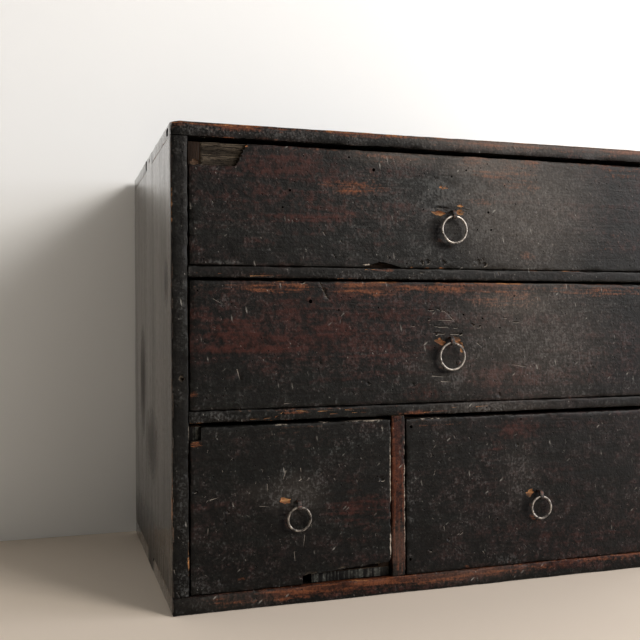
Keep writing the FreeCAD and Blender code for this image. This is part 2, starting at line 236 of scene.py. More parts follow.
def lacquer(name, grain, maroonShare, hazeShare, fleckShare, warmShare, edgeShare, rough=0.36, shine=0.15,
            deep="Y", coat=0.0, broadness=1.0, **own):
    # deep is the axis that a face looks along, and the shares say how much of each kind of wear it has.
    look = {**lacquerLook, **own}
    look = {key: tone(value) if isinstance(value, str) else value for key, value in look.items()}
    f = Finish(name)
    along = f.turn(f.here, stretch=stretched(grain, 14))
    longer = f.turn(f.here, stretch=stretched(grain, 5))
    rim, bare, warm, maroon, haze, dust, pale, grime = (f.painted(key) for key in layers)
    broad = f.spread(f.blotch(longer, 55 * mm, 4, 0.6))
    cloud = f.spread(f.blotch(f.here, 16 * mm, 5, 0.62, 0.4))
    mottle = f.spread(f.blotch(f.here, 4.2 * mm, 4, 0.65))
    grit = f.spread(f.blotch(f.here, 2.2 * mm, 3, 0.6))
    fine = f.blotch(f.here, 0.9 * mm, 3, 0.6)
    across = f.turn(f.here, stretch=stretched("X" if grain == "Z" else "Z", 5))
    brush = f.spread(f.blotch(across, 1.5 * mm, 3, 0.6))
    streak = f.spread(f.blotch(along, 2.6 * broadness * mm, 4, 0.62))
    vein = f.spread(f.blotch(along, 9 * broadness * mm, 4, 0.6, 1.2))

    # The ground goes from green-black to plum-black, with grey haze in fine specks and where it is painted.
    # The broad painted haze on the right of the fronts is painted sheen.
    ground = f.ease(broad * 0.5 + cloud * 0.4 + vein * 0.3 * broadness, 0.3, 0.9 * broadness ** 0.5)
    colour = f.blend(ground, look["green"], look["plum"])
    colour = f.blend(f.ease(cloud * 0.35 + mottle * 0.4 + grit * 0.45, 0.35, 0.95), look["black"], colour)
    specks = grit * 0.5 + brush * 0.3 + mottle * 0.3 + cloud * 0.4
    hazeAndSheenMask = f.ease(specks + haze * 0.55 + 0.3 * hazeShare, 1.0, 1.7)
    colour = f.blend(hazeAndSheenMask * 0.65, colour, look["haze"])
    clouds = maroon * 0.5 + broad * 0.35 + vein * 0.3 + mottle * 0.35 + cloud * 0.2
    reddish = f.ease(clouds + 0.4 * maroonShare, 0.88, 1.65)
    colour = f.blend(reddish * 0.85, colour, look["maroon"])

    # Brown streaks of thin lacquer follow the grain, and grey-brown dust lies over them. Where the dust is
    # painted broadly on the right of the fronts, it is painted sheen.
    edge = f.ease(rim * -1 / look["thin"] + vein * 0.5 + streak * 0.3 + warmShare, 0.55, 1.3)
    brown = warm * 0.85 + edge * 0.35 + streak * 0.35 + mottle * 0.3 + grit * 0.2 + brush * 0.1
    thin = f.blend(f.ease(streak * 0.6 + fine * 0.5 + grit * 0.3, 0.5, 1.2), look["umber"], look["amber"])
    colour = f.blend(f.ease(brown, 0.85, 1.5) * 0.9, colour, thin)
    dustAndSheenMask = dust * (0.55 + 0.3 * brush + 0.3 * grit + 0.25 * mottle - 0.1 * fine)
    colour = f.blend(dustAndSheenMask, colour, look["dust"])

    # Bare wood shows on the arrises and where it is rubbed through. Pale lines lie over it where they are
    # painted: painted highlights along the arrises and broken edges, with some chalky wear.
    worn = rim * -1 / look["arris"] + mottle * 0.45 + vein * 0.75 + cloud * 0.4 + edgeShare
    patch = bare * 0.8 + mottle * 0.3 + streak * 0.3
    naked = f.ease(worn, 0.85, 1.25).most(f.ease(patch, 0.85, 1.1))
    wood = f.blend(f.ease(streak * 0.6 + fine * 0.6, 0.4, 1.0), look["wood"], look["paleWood"])
    colour = f.blend(naked * 0.9, colour, wood)
    colour = f.blend(f.ease(pale + grit * 0.35, 0.65, 1.05) * 0.9, colour, look["chalk"])

    # Pale flecks and short scratches lie in four directions, and between them are small dark pits. Each
    # reaches 8 times as deep as it is wide, so that the surface cuts many.
    deeper = stretched(deep, 8)
    lying = 0 if deep == "Z" else 2
    flecks = None
    for turned, length, size in look["flecks"]:
        where = f.turn(f.here, [turned if axis == deep else 0 for axis in "XYZ"], shift=(turned * mm, 0, 0))
        longer = [side * (length if axis == lying else 1) for axis, side in enumerate(deeper)]
        near = f.ease(f.cells(f.turn(where, stretch=longer), size * mm) * -1 + fine * 0.08, -0.05, 0.01)
        flecks = near if flecks is None else flecks.most(near)
    flecks = flecks * f.ease(cloud * 0.6 + mottle * 0.5 + haze * 0.3 + 0.6 * fleckShare, 0.45, 1.3)
    colour = f.blend(flecks * 0.62, colour, look["fleck"])
    # Small pits go near black, and so do grime and painted shade, such as the rings' shadows.
    pits = f.ease(f.cells(f.turn(f.here, stretch=deeper), look["pits"]) * -1 + mottle * 0.03, -0.09, -0.03)
    dirtAndShadeMask = grime * f.ease(streak + mottle * 0.5, 0.2, 0.9)
    colour = f.blend((pits * 0.8).most(dirtAndShadeMask), colour, look["dirt"])

    roughness = 0.08 * mottle + 0.1 * streak + 0.3 * naked + 0.14 * hazeAndSheenMask + 0.3 * grime + rough
    height = (streak * 0.16 + mottle * 0.3 + grit * 0.2 + fine * 0.12 + vein * 0.15
              - naked * 0.4 - pits * 1.6 - flecks * 0.7)
    shiny = f.ease(streak * 0.6 + vein * 0.5 - grime * 0.5, 0.2, 0.9) * coat * 1.4 + 0.3 * coat
    coated = {"Coat_Weight": shiny * (1 - grime * 0.7), "Coat_Roughness": 0.08} if coat else {}
    return f.close(colour, roughness, height, look["bump"], Specular_IOR_Level=shine, **coated)


woodLook = {"dark": "#4f3825", "mid": "#7d5c3d", "light": "#a07c55", "grime": "#221b16", "bump": 0.3 * mm}


def rawWood(name, grain, dark=woodLook["dark"], mid=woodLook["mid"], light=woodLook["light"], grimeShare=0.4,
            bold=False, shine=0.3):
    # Unfinished board: growth rings drawn out along the grain, and dirt at the arrises. A broken one is bold.
    f = Finish(name)
    along = f.turn(f.here, stretch=stretched(grain, 16))
    bent = f.blotch(f.turn(f.here, stretch=stretched(grain, 5)), 45 * mm, 2, 0.5)
    line = f.spread(f.blotch(along, 0.9 * mm, 4, 0.65)) if bold else f.blotch(along, 1.6 * mm, 4, 0.65)
    wave = f.blotch(along, 26 * mm, 2, 0.5, 0.6) * 44 + bent * 20
    rings = wave.sum("SINE", wave) * 0.5 + 0.5
    mottle = f.blotch(f.here, 12 * mm, 5, 0.6)
    fine = f.blotch(f.here, 1.3 * mm, 3, 0.6)
    grime = f.painted("grime")
    colour = f.blend(f.ease(line * 0.6 + mottle * 0.5, 0.4, 0.72), tone(mid), tone(light))
    colour = f.blend(f.ease(rings * 0.6 + line * 0.5, 0.55, 0.95) * 0.65, colour, tone(dark))
    dirtAndShadeMask = f.ease(mottle + line * 0.3 + grime * 0.9 + 0.25 * grimeShare, 0.72, 1.25)
    colour = f.blend(dirtAndShadeMask * 0.85, colour, tone(woodLook["grime"]))
    rough = 0.62 + 0.2 * line + 0.1 * mottle
    height = line * 0.9 + rings * 0.35 + fine * 0.3 + mottle * 0.3
    return f.close(colour, rough, height, woodLook["bump"], Specular_IOR_Level=shine)


def ironFinish(name, rubbedShare, rusty="#3f271b", pale="#b7b1aa"):
    # Forged iron: brown-black patina, pale where fingers rub it.
    f = Finish(name)
    cloud = f.blotch(f.here, 5 * mm, 4, 0.6)
    fine = f.blotch(f.here, 0.8 * mm, 4, 0.65)
    rubbed = f.ease(cloud * 0.8 + fine * 0.35, 0.86 - 0.5 * rubbedShare, 0.98 - 0.3 * rubbedShare)
    rust = f.ease(f.blotch(f.here, 2.2 * mm, 4, 0.6), 0.52, 0.68)
    dark = f.blend(rust, tone("#1d1917"), tone(rusty))
    colour = f.blend(rubbed, dark, tone(pale))
    rough = 0.55 - 0.28 * rubbed + 0.14 * fine
    return f.close(colour, rough, fine * 0.6 + cloud * 0.5, 0.12 * mm, Metallic=0.85 * rubbed + 0.1)


def bambooFinish():
    f = Finish("bamboo")
    line = f.blotch(f.here, 0.5 * mm, 3, 0.6)
    cloud = f.blotch(f.here, 2.5 * mm, 3, 0.6)
    colour = f.blend(f.ease(line * 0.6 + cloud * 0.5, 0.4, 0.75), tone("#2a1d13"), tone("#6d5030"))
    return f.close(colour, 0.5 + 0.25 * line, line + cloud, 0.15 * mm, Specular_IOR_Level=0.4)


finishes = {
    "front": lacquer("frontLacquer", "X", 0.4, 0.3, 0.5, 0.1, 0.1),
    "case": lacquer("caseLacquer", "X", 0.2, 0.45, 0.6, 0.35, 0.4, umber="#381d12", amber="#6b3d24"),
    "stile": lacquer("stileLacquer", "Z", 0.0, 0.35, 0.6, 0.1, 0.12, green="#0e100e", plum="#13110f"),
    # The left side's lacquer is a lighter, browner copy of the right side's: its extra lightness is painted
    # reflection. The right side's copy is darker, as the lamps fall on it directly.
    "side": lacquer("sideLacquer", "Z", 0.3, 0.2, 0.2, 0.5, 0.3, 0.1, 0.5, "X", 0.34, 3.5, black="#100a06",
                    green="#281c13", plum="#483220", haze="#64503d", umber="#382112", amber="#5b3b24"),
    "rightSide": lacquer("rightLacquer", "Z", 0.3, 0.2, 0.2, 0.5, 0.3, 0.3, 0.3, "X", 0.12, 3.5,
                         black="#0c0705", green="#1d140e", plum="#33231a", haze="#4c3f33", umber="#341f13",
                         amber="#5b3b24"),
    "topFace": lacquer("topLacquer", "X", 0.25, 0.4, 0.3, 0.5, 0.3, deep="Z",
                       umber="#2f1c12", amber="#5c3b26"),
    "partition": lacquer("partitionLacquer", "Z", 0.9, 0.2, 0.4, 0.6, 0.4, umber="#321910", amber="#5a301d"),
    # Lacquer lightened as painted light, for the strip under the lower left drawer's break and the end seen
    # in its notch, which sit in shade.
    "strip": lacquer("stripLacquer", "Z", 0, 1, 0.3, 0, 0, black="#2f302d", green="#595c56", plum="#53524b"),
    "woodX": rawWood("woodAlongX", "X"),
    "backWood": rawWood("backWood", "X", "#37271b", "#5d4531", "#7b6048", 0.9),
    "woodY": rawWood("woodAlongY", "Y"),
    "woodZ": rawWood("woodAlongZ", "Z"),
    "endGrain": rawWood("endGrain", "Z", "#0a0705", "#24160f", "#402819", 0.5, True, 0.08),
    "broken": rawWood("brokenWood", "X", "#060504", "#1d1914", "#574f44", 0.3, True, 0.1),
    "scratched": rawWood("scratchedWood", "X", "#45413d", "#656059", "#8a847c", 0.0),
    # Near black for the insides of holes, chips and breaks: painted shade.
    "hole": rawWood("insideHole", "X", "#030303", "#050404", "#080706", 1.0, False, 0.02),
    "rubbed": rawWood("rubbedWood", "X", "#2c1a12", "#7d4c2c", "#bb8c5c", 0.2, True),
    "ring": ironFinish("rubbedIron", 0.9),
    "dullRing": ironFinish("dullIron", 0.8, pale="#ada69c"),
    "pin": ironFinish("darkIron", 0.4, "#55301f", "#94827a"),
    "nail": bambooFinish(),
}
print("finishes made")


def clearPicks():
    if bpy.context.object and bpy.context.object.mode != "OBJECT":
        bpy.ops.object.mode_set(mode="OBJECT")
    bpy.ops.object.select_all(action="DESELECT")


def select(piece):
    clearPicks()
    piece.select_set(True)
    bpy.context.view_layer.objects.active = piece


def edit(piece):
    # Goes into edit mode with all of a piece selected.
    select(piece)
    bpy.ops.object.mode_set(mode="EDIT")
    bpy.ops.mesh.select_all(action="SELECT")


def leaveEdit():
    bpy.ops.object.mode_set(mode="OBJECT")


def settle(piece):
    # Puts a piece's place, turn and size into its mesh.
    select(piece)
    bpy.ops.object.transform_apply(location=True, rotation=True, scale=True)


def addBlock(name, low, high):
    clearPicks()
    low, high = Vector(low), Vector(high)
    bpy.ops.mesh.primitive_cube_add(size=1, location=(low + high) / 2)
    piece = bpy.context.object
    piece.name = piece.data.name = name
    bpy.ops.transform.resize(value=high - low)
    settle(piece)
    return piece


def pick(piece, test):
    # In edit mode, selects the edges that a test accepts.
    bpy.ops.mesh.select_mode(type="EDGE")
    bpy.ops.mesh.select_all(action="DESELECT")
    mesh = bmesh.from_edit_mesh(piece.data)
    mesh.normal_update()
    for edge in mesh.edges:
        if test(edge):
            edge.select_set(True)
    bmesh.update_edit_mesh(piece.data)


def runsAlong(edge, axis):
    span = edge.verts[0].co - edge.verts[1].co
    return abs(span[axis]) > 0.99 * span.length


def isSharp(edge):
    return len(edge.link_faces) == 2 and edge.link_faces[0].normal.dot(edge.link_faces[1].normal) < 0.5


def divide(piece, spacing):
    # Divides a plain block into small faces, so that wear has something to bend.
    edit(piece)
    for axis in range(3):
        cuts = max(0, round(piece.dimensions[axis] / spacing) - 1)
        pick(piece, lambda edge: runsAlong(edge, axis))
        if cuts:
            bpy.ops.mesh.subdivide(number_cuts=cuts)
    leaveEdit()


def score(piece, axis, spacing):
    # Does the same to a board of any outline, by planes square to one axis.
    select(piece)
    places = [corner[axis] for corner in piece.bound_box]
    low, high = min(places), max(places)
    count = round((high - low) / spacing)
    normal = Vector([1 if i == axis else 0 for i in range(3)])
    edit(piece)
    for i in range(1, count):
        bpy.ops.mesh.select_all(action="SELECT")
        bpy.ops.mesh.bisect(plane_co=normal * (low + i * (high - low) / count), plane_no=normal)
    leaveEdit()


def roundOff(piece, radius, test=isSharp, segments=3):
    edit(piece)
    pick(piece, test)
    bpy.ops.mesh.bevel(offset=radius, segments=segments, affect="EDGES")
    leaveEdit()


def apply(piece, kind, **settings):
    select(piece)
    step = piece.modifiers.new(kind, kind)
    for key, value in settings.items():
        setattr(step, key, value)
    bpy.ops.object.modifier_apply(modifier=step.name)


def dress(piece, stuff):
    piece.data.materials.clear()
    piece.data.materials.append(finishes[stuff])


def slotOf(piece, stuff):
    # The slot of a finish on a piece, added where it is new. A piece's own finish is the first.
    slots = piece.data.materials
    if stuff and slots.find(finishes[stuff].name) < 0:
        slots.append(finishes[stuff])
    return slots.find(finishes[stuff].name) if stuff else 0


def sortFaces(piece, test, stuff):
    slot = slotOf(piece, stuff)
    for face in piece.data.polygons:
        if test(face):
            face.material_index = slot


def carve(piece, cutters, stuff=None):
    # Cuts pieces out of another. The cut faces take a finish, or else the piece's own.
    slot = slotOf(piece, stuff)
    groups = []
    for cutter in cutters:
        cutter.data.materials.clear()
        for material in piece.data.materials:
            cutter.data.materials.append(material)
        for face in cutter.data.polygons:
            face.material_index = slot
        points = coordinates(cutter)
        low, high = points.min(axis=0), points.max(axis=0)
        for group, boxes in groups:
            if all((low > box[1]).any() or (high < box[0]).any() for box in boxes):
                group.append(cutter)
                boxes.append((low, high))
                break
        else:
            groups.append(([cutter], [(low, high)]))
    for group, _ in groups:
        clearPicks()
        for cutter in group:
            cutter.select_set(True)
        bpy.context.view_layer.objects.active = group[0]
        if len(group) > 1:
            bpy.ops.object.join()
        apply(piece, "BOOLEAN", object=group[0], operation="DIFFERENCE", solver="MANIFOLD")
        bpy.data.objects.remove(group[0])


def wearMap(name, size, low, high, depth):
    # A height map from 0 at low noise to 1 at high noise.
    texture = bpy.data.textures.new(name, "CLOUDS")
    texture.noise_scale = size
    texture.noise_depth = depth
    texture.use_color_ramp = True
    for stop, place, value in zip(texture.color_ramp.elements, (low, high), (0, 1)):
        stop.position = place
        stop.color = (value, value, value, 1)
    return texture


wearMaps = {
    "hollows": wearMap("hollows", 14 * mm, 0.3, 0.7, 2),
    "nicks": wearMap("nicks", 5 * mm, 0.32, 0.5, 3),
    "waste": wearMap("waste", 26 * mm, 0.3, 0.62, 2),
    "hammer": wearMap("hammer", 3.5 * mm, 0.2, 0.8, 1),
}


def coordinates(piece):
    points = np.empty(len(piece.data.vertices) * 3)
    piece.data.vertices.foreach_get("co", points)
    return points.reshape(-1, 3)


def rimOf(points, planes):
    # Distance to the nearest arris, in mm: the second nearest of the planes that bound the wood.
    gaps = np.stack([np.abs(points[:, axis] - place) for axis, place in planes], axis=1)
    gaps.sort(axis=1)
    return np.minimum(np.hypot(gaps[:, 0], gaps[:, 1]) / mm, 20)


def boundsOf(low, high, axes="XYZ"):
    return [("XYZ".index(axis), corner["XYZ".index(axis)]) for axis in axes for corner in (low, high)]


def press(piece, wear, depth, weights):
    # Sinks the surface by up to depth where the map is low, by the weight of each point.
    group = piece.vertex_groups.new(name="pressed")
    for i, weight in enumerate(weights):
        if weight > 0.01:
            group.add([i], float(weight), "REPLACE")
    apply(piece, "DISPLACE", texture=wearMaps[wear], texture_coords="LOCAL", strength=depth, mid_level=1,
          direction="NORMAL", vertex_group="pressed")
    piece.vertex_groups.remove(piece.vertex_groups["pressed"])


wearReach = {"waste": 2.5, "nicks": 1.8, "hollows": 3}      # mm from an arris


def weather(piece, planes, nicks=0.9 * mm, waste=0.8 * mm, hollows=0.22 * mm):
    # Arrises lose flakes and wander, and faces are slightly hollow.
    rim = rimOf(coordinates(piece), planes)
    press(piece, "waste", waste, np.clip(1 - rim / wearReach["waste"], 0, 1))
    press(piece, "nicks", nicks, np.clip(1 - rim / wearReach["nicks"], 0, 1))
    press(piece, "hollows", hollows, np.clip(rim / wearReach["hollows"], 0.25, 1))


def store(piece, layer, values):
    found = piece.data.attributes.get(layer) or piece.data.attributes.new(layer, "FLOAT", "POINT")
    found.data.foreach_set("value", np.asarray(values, np.float32))


paintDepth = 8 * mm         # how far paint goes in from the face that it is put on


def paint(piece, layer, spots, depth=frontY, axis=1):
    # Spots are pixels of the photograph: x, y, half width, half height, strength.
    points = coordinates(piece)
    values = np.zeros(len(points))
    level = 1 - axis
    for x, y, wide, tall, strength in spots:
        middle = seenAt(x, y, depth, axis)
        reach = (seenAt(x + wide, y, depth, axis) - middle)[level]
        rise = (seenAt(x, y - tall, depth, axis) - middle).z
        away = np.hypot((points[:, level] - middle[level]) / reach, (points[:, 2] - middle.z) / rise)
        near = np.clip(1.5 - away, 0, 1) * (points[:, axis] < depth + paintDepth)
        values = np.maximum(values, strength * near)
    store(piece, layer, values)


def paintAll(piece, own):
    for layer in layers:
        if layer in own:
            paint(piece, layer, own[layer])


def smooth(piece, degrees):
    select(piece)
    bpy.ops.object.shade_smooth_by_angle(angle=math.radians(degrees))


def finishPiece(piece, node, planes=None, degrees=40):
    # Keeps the worn shape inside the chest's box, and hands the piece over in place of its node.
    points = np.clip(coordinates(piece), *[list(corner) for corner in cadBox])
    piece.data.vertices.foreach_set("co", points.ravel())
    if planes:
        store(piece, "rim", rimOf(coordinates(piece), planes))
    smooth(piece, degrees)
    body = bodyOf[node]
    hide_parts(node)
    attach(piece, body)
    return piece


# Cutters for marks stand in the plane of the fronts. Their sizes are mm.
cutterSizes = {
    "holeLength": 14,
    "holeTilt": 84,             # degrees from upright
    "scratchWidth": 0.38,
    "scratchSink": 0.25,        # how far the middle of a scratch lies behind the front
    "lumpiness": 0.25,
}
past = 3 * mm                   # how far a cutter reaches out of the wood


def placed(cutter, matrix):
    cutter.matrix_world = matrix
    settle(cutter)
    return cutter


def hole(x, y, radius):
    clearPicks()
    middle = seenAt(x, y)
    bpy.ops.mesh.primitive_cylinder_add(vertices=12, radius=radius * mm, depth=cutterSizes["holeLength"] * mm,
                                        location=middle)
    cutter = bpy.context.object
    tilt = math.radians(cutterSizes["holeTilt"])
    bpy.ops.transform.rotate(value=tilt, orient_axis="X", center_override=middle)
    settle(cutter)
    return cutter


def scratch(x0, y0, x1, y1, width=cutterSizes["scratchWidth"], sink=cutterSizes["scratchSink"]):
    # A groove between two pixels, as a thin bar of five sides, half sunk and thinner at its end.
    clearPicks()
    first, last = seenAt(x0, y0), seenAt(x1, y1)
    span = last - first
    bpy.ops.mesh.primitive_cone_add(vertices=5, radius1=width * mm, radius2=0.3 * width * mm,
                                    depth=span.length)
    cutter = bpy.context.object
    edit(cutter)
    bpy.ops.mesh.subdivide(number_cuts=1)
    leaveEdit()
    turn = Vector((0, 0, 1)).rotation_difference(span)
    middle = (first + last) / 2 + Vector((0, (sink - width) * mm * 0.6, 0))
    return placed(cutter, Matrix.Translation(middle) @ turn.to_matrix().to_4x4())


def ball():
    clearPicks()
    bpy.ops.mesh.primitive_ico_sphere_add(subdivisions=3, radius=1)
    return bpy.context.object


def gouge(x, y, wide, tall, deep, tilt, seed, rough=cutterSizes["lumpiness"], depth=frontY):
    # A squashed, lumpy ball. wide and tall are half sizes in mm and deep is how far it goes in.
    middle = seenAt(x, y, depth)
    cutter = ball()
    for vertex in cutter.data.vertices:
        bump = noise.noise(vertex.co * 1.7 + Vector((seed * 3.1, seed, 0)))
        fine = noise.noise(vertex.co * 4.5 + Vector((0, seed * 2.3, seed)))
        vertex.co *= 1 + rough * bump + 0.4 * rough * fine
    size = Vector((wide, max(deep * 1.6, 1.2), tall)) * mm
    return placed(cutter, Matrix.Translation(middle + Vector((0, deep * mm - size.y, 0)))
                  @ Matrix.Rotation(math.radians(tilt), 4, "Y") @ Matrix.Diagonal(size).to_4x4())


def slab(low, high, floorY, cells, shape):
    # A cutter for a broken place: a grid with a fibrous floor, drawn out to the front.
    # shape takes shares of width and height and gives the place in the plane of the front.
    clearPicks()
    bpy.ops.mesh.primitive_grid_add(x_subdivisions=cells[0], y_subdivisions=cells[1], size=1)
    cutter = bpy.context.object
    fibre = fronts["fibre"]
    for vertex in cutter.data.vertices:
        u, v = vertex.co.x + 0.5, vertex.co.y + 0.5
        x, z = shape(u, v, low, high)
        inside = min(u, 1 - u, v, 1 - v) > 1e-4
        rough = noise.noise(Vector((x / 9, 0, z * 1.3)) * 1000)
        rough += 0.5 * noise.noise(Vector((x / 3, 5, z * 3)) * 1000)
        through = 2 * fibre * min(1, max(0, low.x + fronts["side"] + 1 * mm - x) / mm)
        vertex.co = (x, floorY + (fibre * rough if inside else 0) + through, z)
    edit(cutter)
    bpy.ops.mesh.extrude_region_move(TRANSFORM_OT_translate={"value": (0, -fronts["slab"], 0)})
    bpy.ops.mesh.select_all(action="SELECT")
    bpy.ops.mesh.normals_make_consistent(inside=False)
    leaveEdit()
    return cutter


def titled(node):
    # lower_left_drawer_front becomes lowerLeftDrawerFront.
    first, *rest = node.split("_")
    return first + "".join(word.title() for word in rest)


bodyOf = {node: body for body, nodes in frame["record"]["behaviour"]["bodies"].items() for node in nodes}
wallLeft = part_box("case_left_side")[1].x
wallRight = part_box("case_right_side")[0].x
envelope = boundsOf(caseLow, caseHigh)


# The fronts of the drawers.
fronts = {
    "grid": 2.2 * mm,
    "arris": 0.8 * mm,
    "lap": 5 * mm,              # the front laps over the sides by this much
    "side": 10 * mm,
    "bottom": 8 * mm,
    "clear": 0.25 * mm,
    "fibre": 0.55 * mm,         # how rough a broken place is
    "slab": 12 * mm,            # how far its cutter stands out
    "dent": 0.5,                # pixels from a gouge to its pale rim, which is chalky wear and painted highlight, and share of its depth
    "hair": (0.26, 0.16),       # width and sink of a fine scratch, in mm
    "arc": (1.6, 0.85),         # half width in pixels and strength of what a ring has rubbed
}

